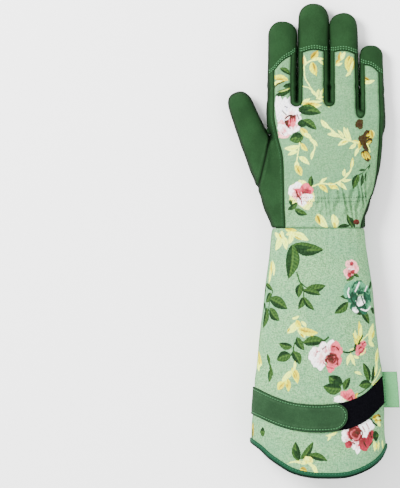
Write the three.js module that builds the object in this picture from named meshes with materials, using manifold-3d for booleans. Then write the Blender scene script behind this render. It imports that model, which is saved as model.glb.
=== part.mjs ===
// A right-hand rose pruning gauntlet lying on its palm: a leather glove with a printed fabric back,
// sewn to a long flared cuff that has a strap, a bound hem and a blank side tab.
// Millimetres. +Y runs to the fingertips, +X to the little finger and +Z up from the palm.
// While it is built, Y is 0 at the wrist seam and X is 0 on the cuff's centre line.
import * as THREE from "three";
import { mergeVertices } from "three/addons/utils/BufferGeometryUtils.js";
import Module from "manifold-3d";

const wasm = await Module();
wasm.setup();

// Driving dimensions of the hand
const handLength = 212.7; // wrist seam to the middle fingertip
const palmLength = 118; // wrist seam to the finger crotches
const knuckleWidth = 110.6;
const wristWidth = 88;
const wristHeight = 41;
const knuckleHeight = 24.5;
const handWall = 1.6;
const thumbLength = 104; // thumb root to thumb tip
const thumbWidth = 30;
const littleCrotchDrop = 11; // how far the little finger's crotch sits below the others
const leatherSeamHeight = 9.5; // height of the seam between the palm leather and the back
const wristLap = 10; // how far the palm leather reaches past the wrist seam
const padThickness = 2.4;
const padGrooveDepth = 1.1;
const padGrooveWidth = 1.8;
const gatherDepth = 0.9; // ripples of the elastic gathers on the back of the wrist
const gatherPitch = 9;

// Driving dimensions of the cuff
const cuffLength = 202; // wrist seam to the hem at the thumb-side seam
const hemDrop = 32.6; // how far the hem's middle reaches past its thumb-side end
const mouthWidth = 130.6;
const mouthHeight = 60;
const cuffWall = 1.8;
const bindingWall = 1;
const bindingDepth = 4;
const strapWidth = 26;
const strapWall = 1.8;
const strapAt = 152.5; // wrist seam to the strap's middle line at the little finger's side
const strapSag = 27; // how far the strap's middle line dips towards the hem
const strapEndAcross = 0.43; // where the strap ends, as a share of the half width
const loopStripWall = 1.2;
const loopStripOverlap = 36; // length of loop strip under the strap's free end
const tabLength = 34;
const tabWidth = 16.5;
const tabWall = 1.4;
const tabAt = 152.7; // wrist seam to the tab's middle

const seamGap = 0.3; // clearance between sewn pieces
const palmLift = padThickness + seamGap; // height of the palm leather over the surface below
const bindingGap = 0.7; // clearance between the hem and the tape folded over it
const cuffLift = bindingWall + bindingGap + 0.5; // height of the cuff's underside at the hem

// Shapes of the cross sections: the exponents of superellipses, and where the widest line runs
const upperPower = 2.2;
const lowerPower = 3;
const lowerFlat = 1.08; // over 1 flattens the underside
const sideShare = 0.42; // height of the widest line as a share of the section's height

// Mesh densities
const bottomPoints = 15;
const topPoints = 2 * bottomPoints;
const fingerPoints = 14;
const cuffColumns = 20;
const cuffRows = 9;

// Palm sections: shares of palmLength, knuckleWidth, and of the way from wrist to knuckle height
const PALM_ROWS = [
  { at: 0.08, left: -0.43, right: 0.4, rise: 0.0 },
  { at: 0.15, left: -0.465, right: 0.425, rise: 0.0 },
  { at: 0.22, left: -0.483, right: 0.448, rise: 0.02 },
  { at: 0.29, left: -0.486, right: 0.474, rise: 0.06 },
  { at: 0.4, left: -0.47, right: 0.502, rise: 0.12 },
  { at: 0.54, left: -0.445, right: 0.53, rise: 0.24 },
  { at: 0.7, left: -0.398, right: 0.548, rise: 0.42 },
  { at: 0.86, left: -0.402, right: 0.56, rise: 0.66 },
  { at: 1.0, left: -0.421, right: 0.565, rise: 1.0 },
];

// Fingers: axis at root and tip and the width as shares of knuckleWidth, reach of handLength,
// edges of the printed strip as shares of the half width, cap seam as shares of the reach
const FINGERS = [
  { name: "index", root: -0.313, tip: -0.304, width: 0.252, reach: 0.92,
    stripLeft: -0.58, stripRight: 0.57, capLeft: 0.76, capRight: 0.83 },
  { name: "middle", root: -0.047, tip: -0.041, width: 0.26, reach: 1.0,
    stripLeft: -0.72, stripRight: 0.68, capLeft: 0.78, capRight: 0.785 },
  { name: "ring", root: 0.228, tip: 0.216, width: 0.241, reach: 0.958,
    stripLeft: -0.68, stripRight: 0.79, capLeft: 0.817, capRight: 0.808 },
  { name: "little", root: 0.468, tip: 0.454, width: 0.205, reach: 0.813,
    stripLeft: -0.6, stripRight: 0.59, capLeft: 0.891, capRight: 0.85 },
];
const fingerRootShare = 0.85; // where a finger's tube starts, as a share of palmLength
const fingerTaper = 0.95; // tip width over root width
const fingerRootDepth = 0.86; // height over width at the root
const fingerTipDepth = 0.68; // height over width at the tip
const fingerTipLift = 0.9; // height of a fingertip's underside
const tipRoundness = 0.56; // length of the rounded end over the width
const capArch = 2; // rise of the cap seam's middle
const crotchRound = 5; // radius of the printed back's cut-out at a crotch
const crotchBand = 3; // leather showing between that cut-out and the crotch

// Thumb: its root in shares of knuckleWidth and palmLength, its direction and its girth
const THUMB_ROOT = { x: -0.354, y: 0.27 };
const thumbAngle = 22.2; // degrees from the fingers towards the thumb's side
const THUMB_GIRTH = [
  { at: 0, width: 0.95 },
  { at: 0.25, width: 1.0 },
  { at: 0.5, width: 0.93 },
  { at: 0.7, width: 0.84 },
  { at: 0.85, width: 0.78 },
  { at: 1, width: 0.72 },
];

// Edges of the printed back, as shares of palmLength and knuckleWidth
const BACK_EDGES = [
  { at: 0.0, left: -0.287, right: 0.354 },
  { at: 0.15, left: -0.292, right: 0.405 },
  { at: 0.33, left: -0.297, right: 0.472 },
  { at: 0.58, left: -0.308, right: 0.507 },
  { at: 0.74, left: -0.352, right: 0.516 },
  { at: 0.9, left: -0.38, right: 0.52 },
];

// Lines down the middle of the printed strips, at the wrist and at the fingers, over knuckleWidth
const STRIP_LINES = [
  { name: "index", wrist: -0.255, finger: -0.255 },
  { name: "middle", wrist: -0.047, finger: -0.045 },
  { name: "ring", wrist: 0.225, finger: 0.222 },
  { name: "little", wrist: 0.3, finger: 0.46 },
];

// Seam round the ball of the thumb on the palm, as shares of knuckleWidth and palmLength
const THENAR_SEAM = [
  { x: -0.39, y: 0.735 }, { x: -0.31, y: 0.755 }, { x: -0.19, y: 0.68 }, { x: -0.105, y: 0.53 },
  { x: -0.086, y: 0.37 }, { x: -0.126, y: 0.225 }, { x: -0.21, y: 0.115 }, { x: -0.31, y: 0.035 },
];

// Outline and stitched channels of the padded reinforcement on the heel of the palm
const PAD_OUTLINE = [
  { x: 0.5, y: 0.6 }, { x: 0.37, y: 0.665 }, { x: 0.171, y: 0.74 }, { x: 0.024, y: 0.783 },
  { x: -0.083, y: 0.797 }, { x: -0.13, y: 0.753 }, { x: -0.108, y: 0.69 }, { x: -0.03, y: 0.577 },
  { x: 0.045, y: 0.464 }, { x: 0.064, y: 0.364 }, { x: 0.045, y: 0.252 }, { x: 0.011, y: 0.128 },
  { x: -0.03, y: 0.064 }, { x: 0.011, y: 0.002 }, { x: 0.171, y: -0.011 }, { x: 0.36, y: 0.002 },
  { x: 0.42, y: 0.08 }, { x: 0.47, y: 0.28 },
];
const PAD_CHANNELS = [
  [{ x: 0.62, y: 0.47 }, { x: 0.3, y: 0.55 }, { x: 0.05, y: 0.66 }],
  [{ x: 0.08, y: 0.63 }, { x: 0.24, y: 0.45 }, { x: 0.5, y: 0.2 }],
  [{ x: 0.6, y: 0.115 }, { x: 0.3, y: 0.11 }, { x: 0.1, y: 0.115 }],
];

// Black fingertips on the palm side: length from the tip as a share of handLength
const TOUCH_TIPS = { index: 0.225, middle: 0.246 };
const thumbTipShare = 0.39; // of thumbLength

// Cuff: shares of the way from wrist to mouth, along the cuff
const CUFF_ROWS = [
  { at: 0, flare: 0, rise: 0 },
  { at: 0.12, flare: 0.13, rise: 0.08 },
  { at: 0.25, flare: 0.34, rise: 0.23 },
  { at: 0.4, flare: 0.52, rise: 0.42 },
  { at: 0.56, flare: 0.7, rise: 0.6 },
  { at: 0.72, flare: 0.84, rise: 0.78 },
  { at: 0.86, flare: 0.93, rise: 0.91 },
  { at: 1, flare: 1, rise: 1 },
];
// Hem line: across is -1 at the thumb-side seam and 1 at the other, drop is a share of hemDrop
const HEM_ROWS = [
  { across: -1, drop: 0 }, { across: -0.85, drop: 0.22 }, { across: -0.74, drop: 0.42 },
  { across: -0.58, drop: 0.64 }, { across: -0.39, drop: 0.85 }, { across: -0.15, drop: 0.97 },
  { across: 0.1, drop: 1 }, { across: 0.38, drop: 0.98 }, { across: 0.6, drop: 0.86 },
  { across: 0.8, drop: 0.66 }, { across: 0.93, drop: 0.42 }, { across: 1, drop: 0.16 },
];

// Middle line of the strap: dip is a share of strapSag
const STRAP_ROWS = [
  { across: -1, dip: 0.38 }, { across: -0.66, dip: 0.73 }, { across: -0.43, dip: 0.9 },
  { across: -0.2, dip: 0.98 }, { across: 0, dip: 1 }, { across: 0.17, dip: 0.98 },
  { across: 0.33, dip: 0.93 }, { across: 0.48, dip: 0.85 }, { across: 0.71, dip: 0.6 },
  { across: 0.9, dip: 0.22 }, { across: 1, dip: 0 },
];

const LEATHER = { color: 0x4f9d5c, roughness: 0.75, metalness: 0 };
const DARK_LEATHER = { color: 0x2c5f38, roughness: 0.7, metalness: 0 };
const PRINTED_FABRIC = { color: 0x9cc3a4, roughness: 0.9, metalness: 0 };
const BLACK_LEATHER = { color: 0x1d2029, roughness: 0.55, metalness: 0 };
const LOOP_FABRIC = { color: 0x17191a, roughness: 0.95, metalness: 0 };
const BINDING_TAPE = { color: 0x2f8458, roughness: 0.8, metalness: 0 };
const TAB_RIBBON = { color: 0x86c69a, roughness: 0.7, metalness: 0 };

const lerp = THREE.MathUtils.lerp;
const clamp = THREE.MathUtils.clamp;

// Value of a table's column at a place between its rows, on a smooth curve through them
function along(table, key, column, place) {
  const last = table.length - 1;
  let i = 0;
  while (i < last - 1 && table[i + 1][key] < place) i++;
  const row = (n) => table[clamp(n, 0, last)];
  const span = row(i + 1)[key] - row(i)[key];
  const t = clamp((place - row(i)[key]) / span, 0, 1);
  const slope = (n) => {
    const rise = row(n + 1)[column] - row(n - 1)[column];
    return (rise / (row(n + 1)[key] - row(n - 1)[key])) * span;
  };
  const t2 = t * t;
  const t3 = t2 * t;
  return (
    (2 * t3 - 3 * t2 + 1) * row(i)[column] + (t3 - 2 * t2 + t) * slope(i) +
    (3 * t2 - 2 * t3) * row(i + 1)[column] + (t3 - t2) * slope(i + 1)
  );
}

// A solid from vertices and triangles, with its faces turned outwards
function solidOf(points, triangles) {
  const [p, q, r] = [new THREE.Vector3(), new THREE.Vector3(), new THREE.Vector3()];
  let volume = 0;
  for (const [a, b, c] of triangles) {
    volume += p.copy(points[a]).dot(q.copy(points[b]).cross(r.copy(points[c])));
  }
  const turned = volume < 0 ? triangles.map(([a, b, c]) => [a, c, b]) : triangles;
  const geometry = new THREE.BufferGeometry().setFromPoints(points);
  geometry.setIndex(turned.flat());
  return manifoldOf(geometry);
}

function manifoldOf(geometry) {
  geometry.deleteAttribute("normal");
  geometry.deleteAttribute("uv");
  const merged = mergeVertices(geometry, 1e-4);
  return new wasm.Manifold(
    new wasm.Mesh({
      numProp: 3,
      vertProperties: new Float32Array(merged.attributes.position.array),
      triVerts: new Uint32Array(merged.index.array),
    }),
  );
}

// Triangles that join two rows of vertices, given the index of each row's first vertex
function bridge(triangles, first, second, count, closed) {
  for (let i = 0; i < (closed ? count : count - 1); i++) {
    const j = (i + 1) % count;
    triangles.push([first + i, first + j, second + j], [first + i, second + j, second + i]);
  }
}

// A closed tube through rings of equal size, with the cap's triangles for a ring given by a function
function loft(rings, cap) {
  const count = rings[0].length;
  const triangles = [];
  for (let n = 0; n < rings.length - 1; n++) bridge(triangles, n * count, (n + 1) * count, count, true);
  const faces = cap(count);
  const last = (rings.length - 1) * count;
  triangles.push(...faces.map(([a, b, c]) => [a, c, b]), ...faces.map((face) => face.map((i) => last + i)));
  return solidOf(rings.flat(), triangles);
}

// A cap fanned out from a ring's first vertex
function fan(count) {
  const faces = [];
  for (let i = 1; i < count - 1; i++) faces.push([0, i, i + 1]);
  return faces;
}

// A cap of upright strips, for a ring with twice as many vertices over the top as under it
function strips(count) {
  const under = count / 3;
  const faces = [];
  for (let j = 0; j < under; j++) {
    const [low, next] = [2 * under + j, (2 * under + j + 1) % count];
    const [high, between, after] = [2 * (under - j), 2 * (under - j) - 1, 2 * (under - j) - 2];
    faces.push([low, next, between]);
    if (high !== low) faces.push([low, between, high]);
    if (after !== next) faces.push([next, after, between]);
  }
  return faces;
}

// A closed band through sections that come round to the first again
function ring(sections) {
  const count = sections[0].length;
  const triangles = [];
  sections.forEach((_, n) => bridge(triangles, n * count, ((n + 1) % sections.length) * count, count, true));
  return solidOf(sections.flat(), triangles);
}

// A wall between two surfaces of (u, v), each from 0 to 1, closed along its four edges
function sheet(outside, inside, columns, rows) {
  const points = [];
  for (const surface of [outside, inside]) {
    for (let j = 0; j <= rows; j++) {
      for (let i = 0; i <= columns; i++) points.push(surface(i / columns, j / rows));
    }
  }
  const width = columns + 1;
  const size = width * (rows + 1);
  const triangles = [];
  for (let j = 0; j < rows; j++) {
    bridge(triangles, j * width, (j + 1) * width, width, false);
    bridge(triangles, size + (j + 1) * width, size + j * width, width, false);
    for (const [a, b] of [[j * width, (j + 1) * width], [(j + 1) * width - 1 + width, (j + 1) * width - 1]]) {
      triangles.push([a, b, size + b], [a, size + b, size + a]);
    }
  }
  bridge(triangles, size, 0, width, false);
  bridge(triangles, rows * width, size + rows * width, width, false);
  return solidOf(points, triangles);
}

// An upright prism on a plan outline
function prism(outline, bottom, top) {
  const geometry = new THREE.ExtrudeGeometry(new THREE.Shape(outline), { depth: top - bottom, bevelEnabled: false });
  return manifoldOf(geometry.translate(0, 0, bottom));
}

// A closed plan outline moved outwards by a distance, or inwards where it is negative
function offset(outline, distance) {
  const turn = THREE.ShapeUtils.isClockWise(outline) ? -1 : 1;
  return outline.map((point, i) => {
    const before = point.clone().sub(outline.at(i - 1)).normalize();
    const after = outline[(i + 1) % outline.length].clone().sub(point).normalize();
    const normal = new THREE.Vector2(before.y + after.y, -before.x - after.x).normalize();
    const miter = Math.max(0.5, normal.dot(new THREE.Vector2(before.y, -before.x)));
    return point.clone().addScaledVector(normal, (turn * distance) / miter);
  });
}

const tallest = 2 * (wristHeight + mouthHeight);
const crumb = 100; // volume below which a cut-off scrap isn't part of a piece

// Splits a solid along an upright outline into the piece inside it and the rest, with a seam between.
// Where a floor is given, only what lies above it belongs to the piece.
function take(solid, outline, floor) {
  let inner = prism(offset(outline, -seamGap / 2), -tallest, tallest);
  let outer = prism(offset(outline, seamGap / 2), -tallest, tallest);
  if (floor) {
    inner = inner.intersect(floor);
    outer = outer.intersect(floor.translate([0, 0, -seamGap]));
  }
  return [solid.intersect(inner), solid.subtract(outer)].map(withoutCrumbs);
}

// The parts of a solid that are big enough to be a piece of leather
function withoutCrumbs(solid) {
  const bodies = solid.decompose().filter((body) => body.volume() > crumb);
  return bodies.reduce((sum, body) => sum.add(body));
}

const plan = (x, y) => new THREE.Vector2(x, y);
const onHand = ({ x, y }) => plan(x * knuckleWidth, y * palmLength);
const bell = (distance, spread) => Math.exp(-((distance / spread) ** 2));

// Point on a hollow section at an angle from +X over the top, moved inwards by an inset
function sectionPoint({ left, right, bottom, top }, y, angle, inset) {
  const upper = Math.sin(angle) >= 0;
  const power = 2 / (upper ? upperPower : lowerPower);
  const across = Math.sign(Math.cos(angle)) * Math.abs(Math.cos(angle)) ** power;
  const rise = Math.abs(Math.sin(angle)) ** power;
  const side = lerp(bottom, top, sideShare);
  const x = (left + right) / 2 + ((right - left) / 2 - inset) * across;
  const z = upper
    ? side + (top - inset - side) * rise
    : Math.max(bottom + inset, side - lowerFlat * (side - bottom - inset) * rise);
  return new THREE.Vector3(x, y, z);
}

const cuffReach = cuffLength + hemDrop;

// The cuff's section at a distance y from the wrist seam, which is negative on the cuff
function cuffSection(y) {
  const at = -y / cuffReach;
  const half = lerp(wristWidth, mouthWidth, along(CUFF_ROWS, "at", "flare", at)) / 2;
  return {
    left: -half,
    right: half,
    bottom: lerp(palmLift, cuffLift, clamp(at / 0.2, 0, 1)),
    top: lerp(palmLift + wristHeight, cuffLift + mouthHeight, along(CUFF_ROWS, "at", "rise", at)),
  };
}

const cuffPoint = (angle, y, inset) => sectionPoint(cuffSection(y), y, angle, inset);
const acrossOf = (angle) => {
  const power = 2 / (Math.sin(angle) >= 0 ? upperPower : lowerPower);
  return Math.sign(Math.cos(angle)) * Math.abs(Math.cos(angle)) ** power;
};
const angleAt = (across) => Math.acos(Math.sign(across) * Math.abs(across) ** (upperPower / 2));
const hemAt = (angle) => -cuffLength - hemDrop * along(HEM_ROWS, "across", "drop", acrossOf(angle));
// The angle at a share of the way across the cuff's panel over the top, or under it
const panelAngle = (over, u) => {
  const depth = mouthHeight * (over ? 1 - sideShare : sideShare);
  const edge = (seamGap / 2 / depth) ** ((over ? upperPower : lowerPower) / 2);
  return over ? lerp(Math.PI - edge, edge, u) : lerp(Math.PI + edge, 2 * Math.PI - edge, u);
};
// The palm leather's lower edge dips past the wrist seam between the sides
const wristDip = (x) => -wristLap * (1 - Math.min(1, Math.abs(x) / (0.465 * wristWidth)) ** 4);

// The palm as a tube of sections, moved inwards by an inset
function palmLoft(inset) {
  const angles = [];
  for (let i = 0; i < topPoints; i++) angles.push((Math.PI * i) / topPoints);
  for (let i = 0; i < bottomPoints; i++) angles.push(Math.PI * (1 + i / bottomPoints));
  const overrun = wristLap + 2 + Math.max(0, inset) * 2;
  const rows = [
    { y: -overrun, section: cuffSection(-overrun) },
    { y: 0, section: cuffSection(0) },
    ...PALM_ROWS.map(({ at, left, right, rise }) => ({
      y: at * palmLength,
      section: {
        left: left * knuckleWidth,
        right: right * knuckleWidth,
        bottom: palmLift,
        top: palmLift + lerp(wristHeight, knuckleHeight, rise),
      },
    })),
  ];
  return loft(
    rows.map(({ y, section }) =>
      angles.map((angle) => {
        const point = sectionPoint(section, y, angle, inset);
        const share = clamp(y / palmLength, 0, 1);
        const beyondRing = clamp((point.x / knuckleWidth - 0.2) / 0.25, 0, 1);
        point.y -= littleCrotchDrop * beyondRing * share ** 3 + (share > 0.99 ? Math.max(0, inset) : 0);
        const gather = bell(y - 0.22 * palmLength, 0.1 * palmLength) * bell(point.x - 0.17 * knuckleWidth, 0.3 * knuckleWidth);
        point.z -= Math.sin(angle) > 0.5 ? gatherDepth * gather * (1 - Math.cos((2 * Math.PI * point.x) / gatherPitch)) : 0;
        return point;
      }),
    ),
    strips,
  );
}

// A tapering tube with a rounded end, from a root to a tip in plan
function fingerLoft({ root, tip, girth, bends, rootBottom, tipBottom, rootDepth, tipDepth }, inset) {
  const length = root.distanceTo(tip);
  const direction = tip.clone().sub(root).divideScalar(length);
  const side = plan(direction.y, -direction.x);
  const roundLength = tipRoundness * girth(1);
  const straight = 1 - roundLength / length;
  const rows = bends.map((share) => ({ at: straight * share, size: 1 }));
  for (const angle of [26, 50, 70, 85]) {
    const turn = THREE.MathUtils.degToRad(angle);
    rows.push({ at: straight + ((roundLength - inset) * Math.sin(turn)) / length, size: Math.cos(turn) ** 0.85 });
  }
  return loft(
    rows.map(({ at, size }) => {
      const width = girth(at);
      const height = width * lerp(rootDepth, tipDepth, at);
      const middle = root.clone().lerp(tip, at);
      const centre = lerp(rootBottom, tipBottom, at) + height / 2;
      const points = [];
      for (let i = 0; i < fingerPoints; i++) {
        const angle = (2 * Math.PI * i) / fingerPoints;
        const across = (width / 2 - inset) * size * Math.cos(angle);
        const up = (height / 2 - inset) * size * Math.sin(angle);
        points.push(new THREE.Vector3(middle.x + side.x * across, middle.y + side.y * across, centre + up));
      }
      return points;
    }),
    fan,
  );
}

const fingerShapes = FINGERS.map(({ root, tip, width, reach }) => ({
  root: plan(root * knuckleWidth, fingerRootShare * palmLength),
  tip: plan(tip * knuckleWidth, reach * handLength),
  girth: (at) => width * knuckleWidth * lerp(1, fingerTaper, at),
  bends: [0, 1],
  rootBottom: palmLift,
  tipBottom: fingerTipLift,
  rootDepth: fingerRootDepth,
  tipDepth: fingerTipDepth,
}));

const thumbDirection = plan(
  -Math.sin(THREE.MathUtils.degToRad(thumbAngle)),
  Math.cos(THREE.MathUtils.degToRad(thumbAngle)),
);
const thumbRoot = onHand(THUMB_ROOT);
const thumbTip = thumbRoot.clone().addScaledVector(thumbDirection, thumbLength);
const thumbShape = {
  root: thumbRoot,
  tip: thumbTip,
  girth: (at) => thumbWidth * along(THUMB_GIRTH, "at", "width", at),
  bends: [0, 0.25, 0.5, 0.75, 1],
  rootBottom: palmLift,
  tipBottom: palmLift,
  rootDepth: 1,
  tipDepth: 0.9,
};

function handSolid(inset) {
  return [...fingerShapes, thumbShape].reduce(
    (hand, shape) => hand.add(fingerLoft(shape, inset)),
    palmLoft(inset),
  );
}

// X of a finger's axis, or of an edge at a share of its half width, at a distance y from the wrist
function fingerX(finger, share, y) {
  const rootY = fingerRootShare * palmLength;
  const at = (y - rootY) / (finger.reach * handLength - rootY);
  const half = (finger.width * knuckleWidth * lerp(1, fingerTaper, at)) / 2;
  return lerp(finger.root, finger.tip, at) * knuckleWidth + share * half;
}

// The seam between a finger's printed strip and its cap, from one side of the finger to the other
function capSeam(finger, fromShare, toShare) {
  const points = [];
  for (let i = 0; i <= 6; i++) {
    const share = lerp(fromShare, toShare, i / 6);
    const across = (share - finger.stripLeft) / (finger.stripRight - finger.stripLeft);
    const arch = capArch * Math.sin(Math.PI * clamp(across, 0, 1));
    const y = lerp(finger.capLeft, finger.capRight, across) * finger.reach * handLength + arch;
    points.push(plan(fingerX(finger, share, y), y));
  }
  return points;
}

const crotchYs = [palmLength, palmLength, palmLength - littleCrotchDrop];

// Outline of the printed back: up the thumb side, over each finger's strip and down the other side
function backOutline() {
  const outline = BACK_EDGES.map(({ at, left }) => plan(left * knuckleWidth, at * palmLength));
  FINGERS.forEach((finger, i) => {
    outline.push(...capSeam(finger, finger.stripLeft, finger.stripRight));
    if (i === FINGERS.length - 1) return;
    const next = FINGERS[i + 1];
    const y = crotchYs[i] + crotchRound;
    const leftX = fingerX(finger, finger.stripRight, y);
    const rightX = fingerX(next, next.stripLeft, y);
    for (let n = 0; n <= 6; n++) {
      const angle = Math.PI * (1 + n / 6);
      const x = (leftX + rightX) / 2 + ((rightX - leftX) / 2) * Math.cos(angle);
      outline.push(plan(x, y - crotchBand + crotchRound * Math.sin(angle)));
    }
  });
  BACK_EDGES.toReversed().forEach(({ at, right }) => outline.push(plan(right * knuckleWidth, at * palmLength)));
  // The wrist end runs past the seam, where the hand is trimmed straight
  outline.push(plan(BACK_EDGES[0].right * knuckleWidth, -wristLap * 2), plan(BACK_EDGES[0].left * knuckleWidth, -wristLap * 2));
  return outline;
}

const wide = 2 * knuckleWidth;
const far = 2 * handLength;

// A point halfway between a finger and the next one, or far out beside the first or the last
function inGap(i, y) {
  if (i < 0) return plan(-wide, y);
  if (i >= FINGERS.length - 1) return plan(wide, y);
  return plan((fingerX(FINGERS[i], 1, y) + fingerX(FINGERS[i + 1], -1, y)) / 2, y);
}

// Everything past a finger's cap seam, between the gaps to its neighbours
function capZone(i) {
  const seam = capSeam(FINGERS[i], -1.02, 1.02);
  return [inGap(i - 1, seam[0].y), ...seam, inGap(i, seam.at(-1).y), inGap(i, far), inGap(i - 1, far)];
}

// The thumb seen from above, from the fold beside the hand outwards
function thumbZone() {
  const crotch = plan(-0.412 * knuckleWidth, 0.715 * palmLength);
  return [
    crotch,
    plan(-0.495 * knuckleWidth, 0.41 * palmLength),
    plan(-0.56 * knuckleWidth, 0.2 * palmLength),
    plan(-wide, 0.2 * palmLength),
    plan(-wide, far),
    plan(fingerX(FINGERS[0], -1, palmLength) - 6, far),
    plan(fingerX(FINGERS[0], -1, palmLength) - 1.5, palmLength),
  ];
}

// The thumb on the palm side, inside the seam round its ball
function thenarZone() {
  return [
    ...THENAR_SEAM.map(onHand),
    plan(-wide, 0.01 * palmLength),
    plan(-wide, far),
    plan(fingerX(FINGERS[0], -1, palmLength) - 6, far),
    plan(fingerX(FINGERS[0], -1, palmLength) - 1.5, palmLength),
    plan(-0.412 * knuckleWidth, 0.8 * palmLength),
  ];
}

// The black tip of a finger, past a straight seam across it
function touchTipZone(i) {
  const y = FINGERS[i].reach * handLength - TOUCH_TIPS[FINGERS[i].name] * handLength;
  return [inGap(i - 1, y), inGap(i, y), inGap(i, far), inGap(i - 1, far)];
}

// The black tip of the thumb, past a straight seam across it
function thumbTipZone() {
  const side = plan(thumbDirection.y, -thumbDirection.x);
  const corner = (across, past) =>
    thumbTip.clone().addScaledVector(side, across * thumbWidth)
      .addScaledVector(thumbDirection, (past - thumbTipShare) * thumbLength);
  return [corner(-1, 0), corner(0.55, 0), corner(0.55, 1), corner(-1, 1)];
}

// The space above the line where the hand is widest, which slopes down towards the fingertips
function overSides() {
  const sideAt = (height) => palmLift + sideShare * height;
  const profile = new THREE.Shape([
    plan(-far, sideAt(wristHeight)), plan(0, sideAt(wristHeight)),
    plan(palmLength, sideAt(knuckleHeight)), plan(far, sideAt(knuckleHeight) - 4),
    plan(far, tallest), plan(-far, tallest),
  ]);
  const geometry = new THREE.ExtrudeGeometry(profile, { depth: 2 * wide, bevelEnabled: false });
  return manifoldOf(geometry.translate(0, 0, -wide).rotateY(Math.PI / 2).rotateX(Math.PI / 2));
}

const box = (x0, x1, y0, y1) => [plan(x0, y0), plan(x1, y0), plan(x1, y1), plan(x0, y1)];

// The leather and fabric pieces of the hand, cut from one hollow shell along its seams
function handPieces() {
  const shell = handSolid(0).subtract(handSolid(handWall));
  const aboveSeam = prism(box(-wide, wide, seamGap / 2, far), leatherSeamHeight + seamGap / 2, tallest);
  const wristEdge = [];
  for (let i = 0; i <= cuffColumns; i++) {
    const angle = panelAngle(false, i / cuffColumns);
    const { x } = cuffPoint(angle, 0, 0);
    wristEdge.push(plan(x, wristDip(x) + seamGap / 2));
  }
  const palmOutline = [
    plan(-wide, seamGap / 2), ...wristEdge, plan(wide, seamGap / 2), plan(wide, far), plan(-wide, far),
  ];
  let upper = shell.intersect(aboveSeam);
  let lower = shell.intersect(prism(palmOutline, -tallest, leatherSeamHeight - seamGap / 2));
  const pieces = {};
  [pieces.back_panel, upper] = take(upper, backOutline(), overSides());
  FINGERS.forEach(({ name }, i) => {
    [pieces[`cap_${name}`], upper] = take(upper, capZone(i));
  });
  [pieces.thumb_back, upper] = take(upper, thumbZone());
  // What is left of the upper half falls apart at the printed strips of the fingers
  const names = ["side_thumb", "fourchette_index", "fourchette_middle", "fourchette_ring", "side_little"];
  const underStrips = [plan(-wide, -wide), ...STRIP_LINES.map(({ wrist }) => plan(wrist * knuckleWidth, 0)), plan(wide, -wide)];
  const overFingers = [-wide, ...STRIP_LINES.map(({ finger }) => finger * knuckleWidth), wide];
  names.forEach((name, i) => {
    const column = [
      plan(underStrips[i].x, -far), plan(underStrips[i + 1].x, -far),
      plan(underStrips[i + 1].x, 0), plan(overFingers[i + 1], 0.5 * palmLength), plan(overFingers[i + 1], far),
      plan(overFingers[i], far), plan(overFingers[i], 0.5 * palmLength), plan(underStrips[i].x, 0),
    ];
    pieces[name] = withoutCrumbs(upper.intersect(prism(column, -tallest, tallest)));
  });
  [pieces.touch_tip_thumb, lower] = take(lower, thumbTipZone());
  [pieces.touch_tip_index, lower] = take(lower, touchTipZone(0));
  [pieces.touch_tip_middle, lower] = take(lower, touchTipZone(1));
  [pieces.thumb_palm, pieces.palm] = take(lower, thenarZone());
  return pieces;
}

// The padded reinforcement, hugging the palm's underside, with grooves along its stitched channels
function palmPad() {
  const layer = palmLoft(-seamGap - padThickness).subtract(palmLoft(-seamGap));
  const outline = PAD_OUTLINE.map(onHand);
  let pad = layer.intersect(prism(outline, -tallest, leatherSeamHeight - padThickness));
  for (const channel of PAD_CHANNELS) {
    const line = channel.map(onHand);
    const sides = [1, -1].map((way) =>
      line.map((point, i) => {
        const run = line[Math.min(i + 1, line.length - 1)].clone().sub(line[Math.max(i - 1, 0)]).normalize();
        return plan(point.x - (run.y * way * padGrooveWidth) / 2, point.y + (run.x * way * padGrooveWidth) / 2);
      }),
    );
    pad = pad.subtract(prism([...sides[0], ...sides[1].toReversed()], -tallest, padGrooveDepth));
  }
  return pad;
}

// One of the cuff's two printed panels, over the top or under it, from the wrist seam to the hem
function cuffPanel(over) {
  const surface = (inset) => (u, v) => {
    const angle = panelAngle(over, u);
    const start = (over ? 0 : wristDip(cuffPoint(angle, 0, inset).x)) - seamGap / 2;
    const y = lerp(start, hemAt(angle), v);
    return cuffPoint(angle, y, inset);
  };
  return sheet(surface(0), surface(cuffWall), cuffColumns, cuffRows);
}

// The tape folded over the hem, as a U round the raw edge
function hemBinding() {
  const steps = 2 * cuffColumns;
  const [near, out] = [cuffWall / 2 + bindingGap, cuffWall / 2 + bindingGap + bindingWall];
  const under = bindingGap + bindingWall;
  const profile = [
    [out, bindingDepth], [out, -under], [-out, -under], [-out, bindingDepth],
    [-near, bindingDepth], [-near, -bindingGap], [near, -bindingGap], [near, bindingDepth],
  ];
  const place = (step) => {
    const angle = THREE.MathUtils.euclideanModulo(Math.PI - (2 * Math.PI * step) / steps, 2 * Math.PI);
    return [angle, hemAt(angle)];
  };
  const hemPoint = (step) => cuffPoint(...place(step), cuffWall / 2);
  const sections = [];
  for (let n = 0; n < steps; n++) {
    const [angle, y] = place(n);
    const alongHem = hemPoint(n + 1).sub(hemPoint(n - 1)).normalize();
    const alongCuff = cuffPoint(angle, y + bindingDepth, cuffWall / 2).sub(hemPoint(n));
    const outward = alongCuff.cross(alongHem).normalize();
    const back = alongHem.clone().cross(outward);
    sections.push(profile.map(([o, b]) => hemPoint(n).addScaledVector(outward, o).addScaledVector(back, b)));
  }
  return ring(sections);
}

const strapLine = (across) => -strapAt - strapSag * along(STRAP_ROWS, "across", "dip", across);
const halfWidthAt = (across) => cuffSection(strapLine(across)).right;
const loopStartAcross = strapEndAcross - loopStripOverlap / halfWidthAt(strapEndAcross);

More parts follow.
